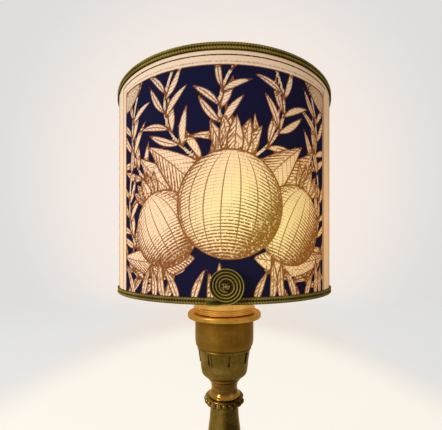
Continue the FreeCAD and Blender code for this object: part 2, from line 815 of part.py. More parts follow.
def part_shade_rings():
    """The dished ring that the shade rests on and the knurled ring that clamps it."""
    ring = turned("lower_shade_ring", [
        (D.shade_thread + D.slip, 0),
        (D.ring_radius - 0.9, 0),
        (D.ring_radius, 1.0, 0.3),
        (D.ring_radius, D.ring_thick - 1.3),
        (D.ring_radius - 1.3, D.ring_thick, 0.35),
        (D.ring_radius - 2.1, D.ring_thick - D.ring_dish, 0.1),
        (D.shade_thread + D.slip, D.ring_thick - D.ring_dish),
    ])
    place(ring, "lower_shade_ring", z=ring_z)

    clamp = turned("clamp_ring", [
        (D.shade_thread + D.slip, 0),
        (D.clamp_radius, 0),
        (D.clamp_radius, D.clamp_thick - 0.8),
        (D.clamp_radius - 0.8, D.clamp_thick, 0.2),
        (D.shade_thread + D.slip, D.clamp_thick),
    ])
    notch = hole_in(clamp, "knurl_notch", 0.8, D.clamp_thick + 2, (D.clamp_radius + 0.4, 0, -1))
    repeat_round(clamp, notch, "knurl", D.knurl_count)
    place(clamp, "clamp_ring", z=clamp_z)


def part_shade_frame():
    """Sleeve over the thread, three armed spider and the two wire hoops."""
    fitter = turned("fitter_collar", [
        (D.fitter_bore, 0),
        (D.fitter_radius - 0.3, 0),
        (D.fitter_radius, 0.5, 0.3),
        (D.fitter_radius, 1.7),
        (D.fitter_radius - 0.5, 2.0, 0.3),
        (D.fitter_radius - 0.5, 2.6),
        (D.fitter_lip, 2.9),
        (D.fitter_lip, 3.5, 0.5),
        (D.fitter_radius, 4.0),
        (D.fitter_radius, D.fitter_height - 2.4),
        (D.fitter_flange, D.fitter_height - 1.2, -0.6),
        (D.fitter_flange, D.fitter_height),
        (D.fitter_bore, D.fitter_height),
    ])
    place(fitter, "fitter_collar", z=fitter_z)

    hoop_radius = D.shade_radius - D.cloth_thick - D.liner_thick - D.slip - D.hoop_wire
    hoop_edge = D.braid_overhang + D.hoop_wire + 0.3
    low_hoop = D.shade_rise + hoop_edge
    plate = tube("spider_plate", D.fitter_bore, D.spider_hub, D.spider_plate)
    place(plate, "spider_plate", z=spider_z)
    hoop = doc.addObject("Part::Torus", "bottom_hoop")
    bind(hoop, "Radius1", hoop_radius)
    bind(hoop, "Radius2", D.hoop_wire)
    place(hoop, "bottom_hoop", z=spider_z + low_hoop)

    start = D.spider_hub - D.arm_radius
    arm_z = D.spider_plate / 2
    run = (hoop_radius - start).value
    rise = (low_hoop - arm_z).value
    lift = math.degrees(math.atan2(rise, run))
    hub_room = doc.addObject("Part::Cylinder", "hub_room")
    bind(hub_room, "Radius", D.spider_hub + D.weld_gap)
    bind(hub_room, "Height", low_hoop)
    bind(hub_room, "Placement.Base.z", -low_hoop / 2)
    hoop_room = doc.addObject("Part::Torus", "hoop_room")
    bind(hoop_room, "Radius1", hoop_radius)
    bind(hoop_room, "Radius2", D.hoop_wire + D.weld_gap)
    bind(hoop_room, "Placement.Base.z", low_hoop)
    room = doc.addObject("Part::MultiFuse", "arm_room")
    room.Shapes = [hub_room, hoop_room]
    arms = []
    for number in range(int(D.arm_count.value)):
        angle = D.arm_turn.value + 360 * number / D.arm_count.value
        turn = FreeCAD.Rotation(FreeCAD.Vector(0, 0, 1), angle)
        turn = turn * FreeCAD.Rotation(FreeCAD.Vector(0, 1, 0), 90 - lift)
        share = math.radians(angle)
        wire = rod_at("arm_wire_%d" % number, D.arm_radius, size_of(math.hypot(run, rise)),
                      start * math.cos(share), start * math.sin(share), arm_z, turn)
        arm = doc.addObject("Part::Cut", "arm_%d" % number)
        arm.Base = wire
        arm.Tool = room
        arms.append(arm)
    place(group("spider_arms", arms), "spider_arms", z=spider_z)

    top = doc.addObject("Part::Torus", "top_hoop")
    bind(top, "Radius1", hoop_radius)
    bind(top, "Radius2", D.hoop_wire)
    place(top, "top_hoop", z=shade_z + D.shade_height - hoop_edge)


def part_shade_cover():
    """Liner, printed cloth and the braid round both edges."""
    cloth_bore = D.shade_radius - D.cloth_thick
    cloth_high = D.shade_height - 2 * D.braid_overhang
    liner_radius = cloth_bore - D.slip / 2
    cloth = tube("shade_panel", cloth_bore, D.shade_radius, cloth_high)
    place(cloth, "shade_panel", z=shade_z + D.braid_overhang)
    liner = tube("shade_liner", liner_radius - D.liner_thick, liner_radius, cloth_high - 1)
    place(liner, "shade_liner", z=shade_z + D.braid_overhang + 0.5)

    ridge = D.braid_high / 2
    for name, height in (("bottom_braid", shade_z), ("top_braid", shade_z + D.shade_height - D.braid_high)):
        braid = turned(name, [
            (braid_back, 0),
            (braid_front - 0.7, 0),
            (braid_front - 0.35, ridge, 0.45),
            (braid_front - 0.7, D.braid_high, 0.45),
            (braid_back, D.braid_high),
        ])
        place(braid, name, z=height)


def part_rosette():
    """The braid's end, wound up on edge into a flat coil at the front."""
    half_pitch = D.rosette_pitch.value / 2
    radius = D.rosette_radius.value - D.strip_thick.value / 2
    arcs = []
    centre = 0.0
    place_now = FreeCAD.Vector(0, 0, -radius)
    first = place_now
    for number in range(int(D.rosette_half_turns.value)):
        side = 1 if number % 2 == 0 else -1
        middle = FreeCAD.Vector(side * radius, 0, centre)
        stop = FreeCAD.Vector(0, 0, centre + side * radius)
        arcs.append(Part.Arc(place_now, middle, stop).toShape())
        place_now = stop
        radius -= half_pitch
        centre = stop.z - side * radius
    tail = Part.LineSegment(first - FreeCAD.Vector(D.tail_length.value, 0, 0), first).toShape()
    path = Part.Wire([tail] + arcs)
    wide = D.strip_wide.value / 2
    thin = D.strip_thick.value / 2
    start = first - FreeCAD.Vector(D.tail_length.value, 0, 0)
    round_edge = thin * 0.9
    corners = [FreeCAD.Vector(0, -wide + thin, -thin), FreeCAD.Vector(0, wide - thin, -thin),
               FreeCAD.Vector(0, wide - thin, thin), FreeCAD.Vector(0, -wide + thin, thin)]
    front = FreeCAD.Vector(0, -wide + thin - round_edge, 0)
    back = FreeCAD.Vector(0, wide - thin + round_edge, 0)
    corners, front, back = [start + point for point in corners], start + front, start + back
    section = Part.Wire([
        Part.LineSegment(corners[0], corners[1]).toShape(),
        Part.Arc(corners[1], back, corners[2]).toShape(),
        Part.LineSegment(corners[2], corners[3]).toShape(),
        Part.Arc(corners[3], front, corners[0]).toShape(),
    ])
    pipe = Part.BRepOffsetAPI.MakePipeShell(path)
    pipe.add(section)
    pipe.build()
    pipe.makeSolid()
    coil = shaped("rosette_coil", pipe.shape())
    place(coil, "rosette_coil", x=D.rosette_side, z=shade_z + D.rosette_height,
          y=-(braid_front + D.slip / 2 + D.strip_wide / 2))

    points = path.discretize(Distance=0.2)
    reach = 3 * D.rosette_pitch.value
    least = min((one - other).Length for index, one in enumerate(points)
                for other in points[index + int(reach / 0.2) + 1:])
    print("rosette: least gap between turns %.2f mm" % (least - D.strip_thick.value))
    print("rosette: volume %.1f, section times length %.1f" % (
        coil.Shape.Volume, Part.Face(section).Area * path.Length))


def part_lamp():
    """The lamp, with its eyelet, cap, glass bulb, stem, leads and filament."""
    eyelet = turned("bulb_contact", [
        (0, 0),
        (D.contact_radius, 0.5, 0.15),
        (D.contact_radius, D.contact_thick),
        (0, D.contact_thick),
    ])
    place(eyelet, "bulb_contact", z=lamp_z)

    vitrite = turned("cap_insulator", [
        (0, D.contact_thick + D.slip / 2),
        (D.contact_radius + 0.6, D.contact_thick + D.slip / 2),
        (D.vitrite_radius, D.vitrite_height - 1.0),
        (D.vitrite_radius, D.vitrite_height),
        (0, D.vitrite_height),
    ])
    place(vitrite, "cap_insulator", z=lamp_z)

    thread_top = D.lamp_thread_start + D.lamp_thread_long
    skirt_low = thread_top + D.shoulder_thick
    bore = D.lamp_root - D.lamp_wall
    wall = turned("cap_wall_tube", [
        (bore, D.lamp_thread_start),
        (D.lamp_root, D.lamp_thread_start),
        (D.lamp_root, thread_top),
        (D.lamp_rim, thread_top),
        (D.lamp_rim, D.lamp_cap_height),
        (D.lamp_rim - D.lamp_wall, D.lamp_cap_height),
        (D.lamp_rim - D.lamp_wall, skirt_low),
        (bore, skirt_low),
    ])
    ridge = thread_ridge(D.lamp_root + D.ridge_set, D.lamp_crest, D.ridge_root, D.ridge_crest,
                         D.lamp_pitch, D.lamp_turns)
    thread = shaped("cap_thread", ridge, D.lamp_ridge_start)
    place(group("bulb_cap", [wall, thread]), "bulb_cap", z=lamp_z)

    glass_low = skirt_low
    ball_z = D.lamp_length - D.glass_ball
    join_angle = math.radians(35)
    wall = D.glass_wall
    ball_in = D.glass_ball - wall
    join_r = D.glass_ball * math.cos(join_angle)
    join_z = ball_z - D.glass_ball * math.sin(join_angle)
    join_r_in = ball_in * math.cos(join_angle)
    join_z_in = ball_z - ball_in * math.sin(join_angle)
    bow = D.glass_ball * (1 - math.cos((math.pi / 2 + join_angle) / 2))
    bow_in = ball_in * (1 - math.cos((math.pi / 2 + join_angle) / 2))
    glass = turned("bulb_glass", [
        (D.glass_neck - wall, glass_low),
        (D.glass_neck, glass_low),
        (D.glass_neck, D.lamp_cap_height + 0.4),
        (D.glass_throat, D.lamp_cap_height + 8, -0.3),
        (join_r, join_z, -1.6),
        (0, D.lamp_length, bow),
        (0, D.lamp_length - wall),
        (join_r_in, join_z_in, -bow_in),
        (D.glass_throat - wall, D.lamp_cap_height + 8, 1.6),
        (D.glass_neck - wall, D.lamp_cap_height + 0.4, 0.3),
    ])
    place(glass, "bulb_glass", z=lamp_z)

    flare = D.glass_neck - wall - D.slip / 2
    stem = turned("bulb_stem", [
        (0, glass_low),
        (flare, glass_low),
        (flare, glass_low + 1),
        (D.stem_radius, glass_low + 8, -2.0),
        (D.stem_radius, glass_low + D.stem_height),
        (0, glass_low + D.stem_height),
    ])
    place(stem, "bulb_stem", z=lamp_z)

    lead_low = glass_low + D.stem_height
    lead_rise = D.lamp_cap_height + D.filament_height - D.filament_wire - lead_low
    leads = []
    for side, name in ((1, "lead_right"), (-1, "lead_left")):
        spread = D.filament_radius - D.stem_radius / 2
        lean = math.degrees(math.atan2(spread.value, lead_rise.value))
        long = size_of(math.hypot(spread.value, lead_rise.value) - 0.2)
        turn = FreeCAD.Rotation(FreeCAD.Vector(0, 1, 0), side * lean)
        leads.append(rod_at(name, D.lead_radius, long, side * D.stem_radius / 2, 0, lead_low + 0.1, turn))
    place(group("lead_wires", leads), "lead_wires", z=lamp_z)

    coil = doc.addObject("Part::Torus", "filament")
    bind(coil, "Radius1", D.filament_radius)
    bind(coil, "Radius2", D.filament_wire)
    coil.Angle3 = 180
    place(coil, "filament", z=lamp_z + D.lamp_cap_height + D.filament_height + D.lead_radius)


part_foot()
part_tie_rod()
part_stem()
part_holder_cap()
part_insides()
part_jacket()
part_shade_rings()
part_shade_frame()
part_shade_cover()
part_rosette()
part_lamp()
doc.recompute()

faults = []
for thing in doc.Objects:
    if "Invalid" in thing.State or "Error" in thing.State:
        faults.append("%s is %s" % (thing.Label, thing.State))
for thing in parts:
    if thing.Shape.isNull() or not thing.Shape.isValid():
        faults.append("%s has no valid shape" % thing.Label)
if faults:
    raise SystemExit("\n".join(faults))

os.makedirs("parts", exist_ok=True)
for thing in parts:
    thing.Shape.exportStep("parts/%s.step" % thing.Label)
    box = thing.Shape.optimalBoundingBox()
    print("%-18s solids %2d  volume %9.1f  z %6.1f to %6.1f  radius %5.1f" % (
        thing.Label, len(thing.Shape.Solids), thing.Shape.Volume, box.ZMin, box.ZMax, box.XMax))
print(len(parts), "sub-parts")
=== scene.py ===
# %% [markdown]
# # A lit table lamp with a printed drum shade
#
# The metal parts of this lamp come ready made from the CAD model, so they keep their sizes
# to a tenth of a millimetre. What CAD is poor at is added here: printed cloth, braid and a
# coil wound from it. Then each piece gets its finish, and the lamp is lit.
#
# Everything is in metres, with Z up. The lamp stands on the origin and its front faces -Y.

import math

import bpy
import numpy as np
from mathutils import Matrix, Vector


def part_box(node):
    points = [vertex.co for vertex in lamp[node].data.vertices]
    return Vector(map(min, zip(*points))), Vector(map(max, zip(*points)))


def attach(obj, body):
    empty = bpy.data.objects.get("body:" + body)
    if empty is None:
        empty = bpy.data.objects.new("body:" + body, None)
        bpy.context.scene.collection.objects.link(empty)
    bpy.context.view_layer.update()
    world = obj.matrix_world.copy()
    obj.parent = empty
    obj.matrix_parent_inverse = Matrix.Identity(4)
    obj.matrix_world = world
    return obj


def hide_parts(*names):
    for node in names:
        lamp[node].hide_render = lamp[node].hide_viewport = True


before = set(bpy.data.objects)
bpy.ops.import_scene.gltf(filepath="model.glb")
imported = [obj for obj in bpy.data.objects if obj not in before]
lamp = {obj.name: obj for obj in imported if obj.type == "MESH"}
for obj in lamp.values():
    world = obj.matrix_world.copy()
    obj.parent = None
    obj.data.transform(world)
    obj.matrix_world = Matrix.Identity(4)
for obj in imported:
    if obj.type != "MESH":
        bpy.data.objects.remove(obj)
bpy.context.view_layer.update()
scene = bpy.context.scene
scene.view_settings.view_transform = "Standard"
print("sub-parts from the CAD model:", len(lamp))

# %% [markdown]
# ## The sizes that the soft pieces need
#
# The cloth, the braids and the coil take the room that plain solids hold in the CAD model.
# Reading that room from the model, and not writing it again, keeps the two in step.

# %% Sizes from the model
braid_low, braid_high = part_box("bottom_braid")
cloth_low, cloth_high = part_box("shade_panel")
liner_low, liner_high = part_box("shade_liner")
coil_low, coil_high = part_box("rosette_coil")
glass_low, glass_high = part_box("bulb_glass")

MM = 0.001
braid_radius = braid_high.x
braid_wide = braid_high.z - braid_low.z
cloth_radius = cloth_high.x
cloth_tall = cloth_high.z - cloth_low.z
glass_radius = 30 * MM
bulb_centre_z = glass_high.z - glass_radius
round_length = 2 * math.pi * cloth_radius
print("cloth %.1f mm round, %.1f mm tall" % (round_length / MM, cloth_tall / MM))

# %% [markdown]
# ## The camera
#
# The lens is close to the lamp, level, and a little above the lower edge of the shade. A
# level camera keeps upright edges upright, and a vertical shift, as on a view camera, then
# raises the picture so that the whole shade is in it.

# %% Camera
bpy.ops.object.camera_add(location=(0, -0.210, 0.2815), rotation=(math.pi / 2, 0, 0))
camera = bpy.context.object
camera.name = "camera"
camera.data.sensor_width = 36
camera.data.lens = 24.43
camera.data.shift_x = -0.0076
camera.data.shift_y = 0.0839
camera.data.clip_start = 0.01
scene.camera = camera
print("camera lens %.2f mm" % camera.data.lens)

# %% [markdown]
# ## Writing shaders as sums
#
# A node tree for a print or a patina is mostly arithmetic, and dozens of Math nodes are
# hard to read. `Field` wraps one output of a node so that `a * 2 - b` adds the Math nodes
# by itself, and `Paint` holds the material that they belong to. Every other kind of node
# comes from `Paint.node`.

# %% Field and Paint
class Field:
    """One output of a shader node, which can be used in a sum like a number."""

    def __init__(self, paint, socket):
        self.paint = paint
        self.socket = socket

    def maths(self, operation, first, second=0.0):
        return self.paint.node("Math", {"operation": operation}, {0: first, 1: second})

    def __add__(self, other):
        return self.maths("ADD", self, other)

    def __sub__(self, other):
        return self.maths("SUBTRACT", self, other)

    def __mul__(self, other):
        return self.maths("MULTIPLY", self, other)

    def __truediv__(self, other):
        return self.maths("DIVIDE", self, other)

    def __pow__(self, other):
        return self.maths("POWER", self, other)

    def __rsub__(self, other):
        return self.maths("SUBTRACT", other, self)

    def __rtruediv__(self, other):
        return self.maths("DIVIDE", other, self)

    def __neg__(self):
        return self.maths("MULTIPLY", self, -1.0)

    def __abs__(self):
        return self.maths("ABSOLUTE", self)

    __radd__ = __add__

    def sine(self):
        return self.maths("SINE", self)

    def fraction(self):
        return self.maths("FRACT", self)

    def largest(self, other):
        return self.maths("MAXIMUM", self, other)

    def rise(self, low, high):
        """0 below low, 1 above high, and a smooth step between them."""
        settings = {"interpolation_type": "SMOOTHSTEP"}
        return self.paint.node("MapRange", settings, {0: self, 1: low, 2: high})


class Paint:
    """A material, or the world, with its nodes written as expressions."""

    def __init__(self, name, world=False):
        self.material = (bpy.data.worlds if world else bpy.data.materials).new(name)
        self.material.use_nodes = True
        self.tree = self.material.node_tree
        self.shader = self.tree.nodes["Background" if world else "Principled BSDF"]

    def join(self, value, socket):
        """Link a field to a socket, or set the socket to a number or colour."""
        if isinstance(value, Field):
            self.tree.links.new(value.socket, socket)
        elif isinstance(value, tuple) and socket.type == "RGBA":
            socket.default_value = (*value, 1)
        else:
            socket.default_value = value

    def node(self, kind, settings=None, sockets=None, output=0):
        """Add any node. Its settings are set before its sockets."""
        node = self.tree.nodes.new("ShaderNode" + kind)
        for name, value in (settings or {}).items():
            if name == "stops":
                ramp = node.color_ramp
                while len(ramp.elements) < len(value):
                    ramp.elements.new(0.5)
                for element, (position, colour) in zip(ramp.elements, value):
                    element.position = position
                    element.color = (*colour, 1)
            else:
                setattr(node, name, value)
        for name, value in (sockets or {}).items():
            self.join(value, node.inputs[name])
        return Field(self, node.outputs[output])

    def position(self):
        """The point on the piece, in metres, as three fields."""
        point = self.node("TexCoord", output="Object")
        return [self.node("SeparateXYZ", None, {0: point}, output) for output in range(3)]

    def noise(self, scale, detail=3.0, rough=0.5, stretch=None):
        """Noise on the piece; scale is in turns per metre."""
        point = self.node("TexCoord", output="Object")
        if stretch:
            point = self.node("Mapping", None, {0: point, "Scale": stretch})
        return self.node("TexNoise", None, {
            "Vector": point, "Scale": scale, "Detail": detail, "Roughness": rough})

    def mix(self, share, first, second):
        """Between two colours."""
        return self.node("Mix", {"data_type": "RGBA"}, {0: share, 6: first, 7: second}, 2)

    def bump(self, height, strength, distance):
        return self.node("Bump", None, {
            "Height": height, "Strength": strength, "Distance": distance})

    def looked_at(self):
        """1 for the camera, a reflection or clear glass, and 0 for light."""
        camera, glossy, clear = [self.node("LightPath", output=output) for output in (
            "Is Camera Ray", "Is Glossy Ray", "Is Transmission Ray")]
        return camera.largest(glossy).largest(clear)

    def finish(self, **sockets):
        """Set the main shader's sockets, named with _ for a space."""
        for name, value in sockets.items():
            self.join(value, self.shader.inputs[name.replace("_", " ")])
        return self.material


print("shader helpers ready")

# %% [markdown]
# ## Helpers for pieces
#
# Blender's operators act on what is selected, and loading the model leaves it all selected.
# `fresh` clears that before each piece. `settle` ends a piece: it moves the object's place
# into its mesh, turns its faces outwards, smooths its round sides and hangs it on the body
# that carries it. `dress` gives pieces their finish.

# %% Helpers for pieces
def fresh():
    """Nothing selected, in object mode."""
    if bpy.context.object and bpy.context.object.mode != "OBJECT":
        bpy.ops.object.mode_set(mode="OBJECT")
    bpy.ops.object.select_all(action="DESELECT")


def choose(*pieces):
    """Select these objects, with the first one active."""
    fresh()
    for piece in pieces:
        piece.select_set(True)
    bpy.context.view_layer.objects.active = pieces[0]


def apply_place(piece):
    choose(piece)
    bpy.ops.object.transform_apply(location=True, rotation=True, scale=True)


def modify(piece, kind, **settings):
    """Add one modifier and apply it."""
    choose(piece)
    modifier = piece.modifiers.new(kind.lower(), kind)
    for name, value in settings.items():
        setattr(modifier, name, value)
    bpy.ops.object.modifier_apply(modifier=modifier.name)


def points_of(piece):
    """The corners of a mesh as rows of x, y, z."""
    places = np.empty(len(piece.data.vertices) * 3)
    piece.data.vertices.foreach_get("co", places)
    return places.reshape(-1, 3)


def move_points(piece, places):
    piece.data.vertices.foreach_set("co", np.ascontiguousarray(places).ravel())
    piece.data.update()


def join_pieces(name, pieces):
    choose(*pieces)
    if len(pieces) > 1:
        bpy.ops.object.join()
    pieces[0].name = name
    pieces[0].data.name = name
    return pieces[0]


def face_outwards(piece):
    choose(piece)
    bpy.ops.object.mode_set(mode="EDIT")
    bpy.ops.mesh.select_all(action="SELECT")
    bpy.ops.mesh.normals_make_consistent(inside=False)
    bpy.ops.object.mode_set(mode="OBJECT")


def settle(piece, body, smooth=40, outwards=True):
    """Finish a piece and hang it on its body."""
    apply_place(piece)
    if outwards:
        face_outwards(piece)
    bpy.ops.object.shade_smooth_by_angle(angle=math.radians(smooth))
    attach(piece, body)
    print("%s: %d faces" % (piece.name, len(piece.data.polygons)))


def dress(pieces, finish):
    """Give each of these pieces this finish and no other."""
    for piece in pieces:
        piece.data.materials.clear()
        piece.data.materials.append(finish)


print("piece helpers ready")

# %% [markdown]
# ## The cloth of the shade
#
# A drum shade's cloth is cut flat, as one long strip, rolled round the frame and lapped at
# the back. It is made here in the same order: a flat grid, rolled into a drum, then given
# its thickness. The grid is fine, about one millimetre, because the print is stored on its
# corners.

# %% Cut and roll the cloth
lap = 7 * MM
cloth_thick = 0.45 * MM


def rolled_strip(name, radius, low, tall, columns, rows, thick, overlap):
    """A flat strip rolled into a drum that faces -Y in its middle and laps at the back."""
    fresh()
    bpy.ops.mesh.primitive_grid_add(x_subdivisions=columns, y_subdivisions=rows, size=1)
    strip = bpy.context.object
    strip.name = name
    flat = points_of(strip)
    length = 2 * math.pi * radius + overlap
    along = flat[:, 0] * length
    up = (flat[:, 1] + 0.5) * tall + low
    past = np.clip((along - (length / 2 - overlap)) / (overlap + 1e-9), 0, 1)
    lift = radius + np.minimum(past * 3, 1) * (thick + 0.05 * MM) * (overlap > 0)
    angle = along / radius - overlap / 2 / radius
    rolled = np.stack([lift * np.sin(angle), -lift * np.cos(angle), up], axis=1)
    move_points(strip, rolled)
    face_outwards(strip)
    out = strip.data.polygons[0].center.xy.dot(strip.data.polygons[0].normal.xy)
    if out < 0:
        strip.data.flip_normals()
    modify(strip, "SOLIDIFY", thickness=thick, offset=-1)
    return strip


cloth = rolled_strip("shade_cloth", cloth_radius, cloth_low.z, cloth_tall,
                     414, 114, cloth_thick, lap)
print("cloth: %d corners" % len(cloth.data.vertices))

# %% [markdown]
# ## The print
#
# The print is cream on navy, with fine brown engraving: three panels, each with large round
# fruit and broad leaves below sprays of slender, curling leaves. It is drawn as a designer
# would, shape over shape, from the back to the front. For each corner of the cloth the
# drawing keeps how far the nearest edge is, in millimetres, and a few rulers for veins and
# hatching. The shader turns these distances into sharp lines, finer than the grid itself.

# %% A sheet to draw on
panel_long = round_length / MM / 3
panel_half = 63.0    # millimetres, half the width of the navy field
off = 9.0            # further than any line reaches from its edge


class Drawing:
    """Shapes laid over each other on one panel, as signed distances in millimetres."""

    def __init__(self, across, up):
        self.across = across
        self.up = up
        self.ground = np.full(len(across), off)
        self.edge = np.full(len(across), off)
        self.rib = np.full(len(across), off)
        self.vein = np.zeros(len(across))
        self.tone = np.zeros(len(across))
        self.hatch = np.zeros(len(across))

    def lay(self, distance, rib, vein, tone, hatch, outlined=True):
        """Lay one shape over what is drawn so far."""
        inside = distance < 0
        self.ground = np.minimum(self.ground, distance)
        if outlined:
            near = distance < np.abs(self.edge)
            self.edge = np.where(inside | near, distance, self.edge)
        else:
            self.edge = np.where(inside, -off, self.edge)
        self.rib = np.where(inside, rib, self.rib)
        self.vein = np.where(inside, vein, self.vein)
        self.tone = np.where(inside, tone, self.tone)
        self.hatch = np.where(inside, hatch, self.hatch)

    def leaf(self, x, y, aim, long, wide, bend, shade, veins, full=0.8, rib=True):
        """A pointed leaf from its base at x, y. bend curls it to the left of its aim, and
        full moves its widest part: to the tip over 1, and to the base under 1."""
        turn = math.radians(aim)
        right, rise = self.across - x, self.up - y
        run = right * math.cos(turn) + rise * math.sin(turn)
        side = rise * math.cos(turn) - right * math.sin(turn)
        share = np.clip(run / long, 0, 1)
        side = side - bend * long * share * share
        half = wide / 2 * np.sin(math.pi * share ** full) + 1e-6
        beyond = run - share * long
        distance = np.where(np.abs(beyond) > 1e-9, np.hypot(beyond, side), np.abs(side) - half)
        tone = shade * np.clip(0.25 + 0.75 * side / half, 0, 1)
        vein = (run + np.abs(side) * 0.9) / veins
        self.lay(distance, side if rib else off, vein, tone, run * 0.6 + side * 0.8)


def bezier(points, share):
    """A point and its direction in degrees on a curve with three handles."""
    (ax, ay), (bx, by), (cx, cy) = points
    rest = 1 - share
    x = rest * rest * ax + 2 * rest * share * bx + share * share * cx
    y = rest * rest * ay + 2 * rest * share * by + share * share * cy
    dx = 2 * rest * (bx - ax) + 2 * share * (cx - bx)
    dy = 2 * rest * (by - ay) + 2 * share * (cy - by)
    return x, y, math.degrees(math.atan2(dy, dx))


print("panel %.1f mm long" % panel_long)

# %% [markdown]
# ### Sprays and fruit
#
# A spray is a bent stem with slender leaves in pairs, which curl outwards by turns. A fruit
# is a ball with ribs from pole to pole, shaded on its lower right, under a crown of pointed
# leaves.

# %% Sprays and fruit
def draw_stem(drawing, points, wide):
    """A stem as a chain of short straight pieces."""
    steps = 24
    places = [bezier(points, step / steps)[:2] for step in range(steps + 1)]
    best = np.full(len(drawing.across), 99.0)
    for (ax, ay), (bx, by) in zip(places, places[1:]):
        dx, dy = bx - ax, by - ay
        share = ((drawing.across - ax) * dx + (drawing.up - ay) * dy) / (dx * dx + dy * dy)
        share = np.clip(share, 0, 1)
        far = np.hypot(drawing.across - ax - share * dx, drawing.up - ay - share * dy)
        best = np.minimum(best, far)
    drawing.lay(best - wide / 2, off, 0.0, 0.18, drawing.up, outlined=False)


def draw_spray(drawing, points, pairs, long, wide):
    """A stem with slender curling leaves on both sides, and one at its tip."""
    spread = 36.0
    plain_leaf = {"full": 0.9, "shade": 0.05, "veins": 90.0}
    draw_stem(drawing, points, 1.3)
    for pair in range(pairs):
        share = 0.04 + 0.90 * pair / pairs
        size = 1 - 0.25 * share
        for side in (1, -1):
            x, y, aim = bezier(points, share + (0.04 if side == 1 else 0.0))
            curl = side * (0.30 if (pair + (side == 1)) % 2 else -0.22)
            drawing.leaf(x, y, aim + side * spread, long * size, wide * size, curl,
                         rib=side == 1, **plain_leaf)
    x, y, aim = bezier(points, 1.0)
    drawing.leaf(x, y, aim, long * 0.8, wide * 0.9, 0.15, **plain_leaf)


def draw_fruit(drawing, x, y, radius, lean):
    """A ribbed ball with a crown; lean turns it to the left, in degrees."""
    ribs = 9
    turn = math.radians(lean)
    top_x, top_y = x - radius * 0.8 * math.sin(turn), y + radius * 0.8 * math.cos(turn)
    for number in (-2, 2, -1, 1, 0):
        drawing.leaf(top_x, top_y, 90 + lean - number * 24, radius * 0.85, radius * 0.30,
                     number * 0.12, shade=0.6, veins=9.0)
    right = (drawing.across - x) * math.cos(turn) + (drawing.up - y) * math.sin(turn)
    rise = (drawing.up - y) * math.cos(turn) - (drawing.across - x) * math.sin(turn)
    bow = np.clip(right / np.sqrt(np.maximum(radius * radius - rise * rise, 1)), -1, 1)
    far = np.hypot(right, rise)
    low_right = ((drawing.across - x) * 0.6 - (drawing.up - y) * 0.8) / radius
    tone = 1.1 * np.clip(low_right + 0.15, 0, 1) ** 1.1 + 0.55 * np.abs(bow) ** 2.5
    apart = (np.arcsin(bow) * ribs / math.pi) % 1 - 0.5
    rib = apart * radius * math.pi / ribs * np.sqrt(1 - bow * bow)
    drawing.lay(far - radius, rib, 0.0, tone, rise * 0.9 + right * right * 0.012)


print("spray and fruit ready")

# %% [markdown]
# ### Composing one panel
#
# Sprays fill the navy field first, then come the broad leaves, three fruit, and small flames
# of leaves at the foot.

# %% Draw the panel
places = points_of(cloth)
across = np.arctan2(places[:, 0], -places[:, 1]) * cloth_radius / MM
across = (across + panel_long / 2) % panel_long - panel_long / 2
up = (places[:, 2] - cloth_low.z) / MM
drawing = Drawing(across, up)

for side in (1, -1):
    draw_spray(drawing, [(side * 30, 52), (side * 66, 72), (side * 50, 106)], 6, 22, 4.3)
    draw_spray(drawing, [(side * 8, 66), (side * 40, 84), (side * 26, 112)], 5, 22, 4.3)
    draw_spray(drawing, [(side * 40, 20), (side * 64, 30), (side * 56, 66)], 5, 19, 4.0)
    draw_spray(drawing, [(side * 20, 16), (side * 48, 2), (side * 60, 22)], 4, 18, 4.0)
draw_spray(drawing, [(4, 74), (-8, 92), (3, 110)], 4, 20, 4.2)

for aim, long, wide, bend in ((158, 60, 21, -0.24), (24, 62, 21, 0.26), (126, 58, 20, 0.20),
                              (56, 56, 20, -0.20), (92, 46, 17, 0.10)):
    drawing.leaf(2, 38, aim, long, wide, bend, shade=0.8, veins=3.2)
for side in (1, -1):
    drawing.leaf(side * 14, 22, 90 - side * 102, 50, 15, side * 0.22, shade=0.7, veins=3.0)
draw_fruit(drawing, -31, 36, 19, 30)
draw_fruit(drawing, 36, 38, 20, -26)
draw_fruit(drawing, 3, 47, 26, -4)
for number in range(17):
    x = -60 + number * 7.5
    aim = 90 + (number * 37) % 50 - 25
    long = 17 + (number * 5) % 7
    drawing.leaf(x, -1, aim, long, 4.0, 0.3 if number % 2 else -0.3, shade=0.3, veins=9.0)
print("drawn: %.0f%% of the panel is cream" % (100 * np.mean(drawing.ground < 0)))

# %% [markdown]
# ### Margins and corner fans
#
# The cream margins at the sides and along the top have two thin navy lines. The corner fans
# are quarter discs with spreading ribs.

# %% Margins and storing the print
field_top = 112.5
fan_high = 118.0
fan_radius, hub_radius = 17.0, 7.0
fan_step = 9.0       # degrees from one rib of a fan to the next
for side in (1, -1):
    far = np.hypot(across - side * panel_half, up - fan_high)
    spoke = np.degrees(np.arctan2(fan_high - up, side * panel_half - across)) / fan_step
    drawing.lay(far - fan_radius, off, spoke, 0.3, far * 2.0)
    drawing.lay(far - hub_radius, off, spoke * 0.5, 0.05, far * 2.0)
margin = np.minimum(panel_half - np.abs(across), field_top - up)
drawing.lay(margin, off, 0.0, -off, up)
drawing.ground = np.where(margin < 0, margin, drawing.ground)
for inner, outer in ((1.6, 2.5), (4.4, 5.1)):
    line = np.minimum(-margin - inner, outer + margin)
    drawing.ground = np.where(margin < -0.8, np.maximum(drawing.ground, line), drawing.ground)

for name in ("ground", "edge", "rib", "vein", "tone", "hatch"):
    store = cloth.data.attributes.new(name, "FLOAT", "POINT")
    store.data.foreach_set("value", getattr(drawing, name).astype(np.float32))
settle(cloth, "shade", outwards=False)
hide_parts("shade_panel")

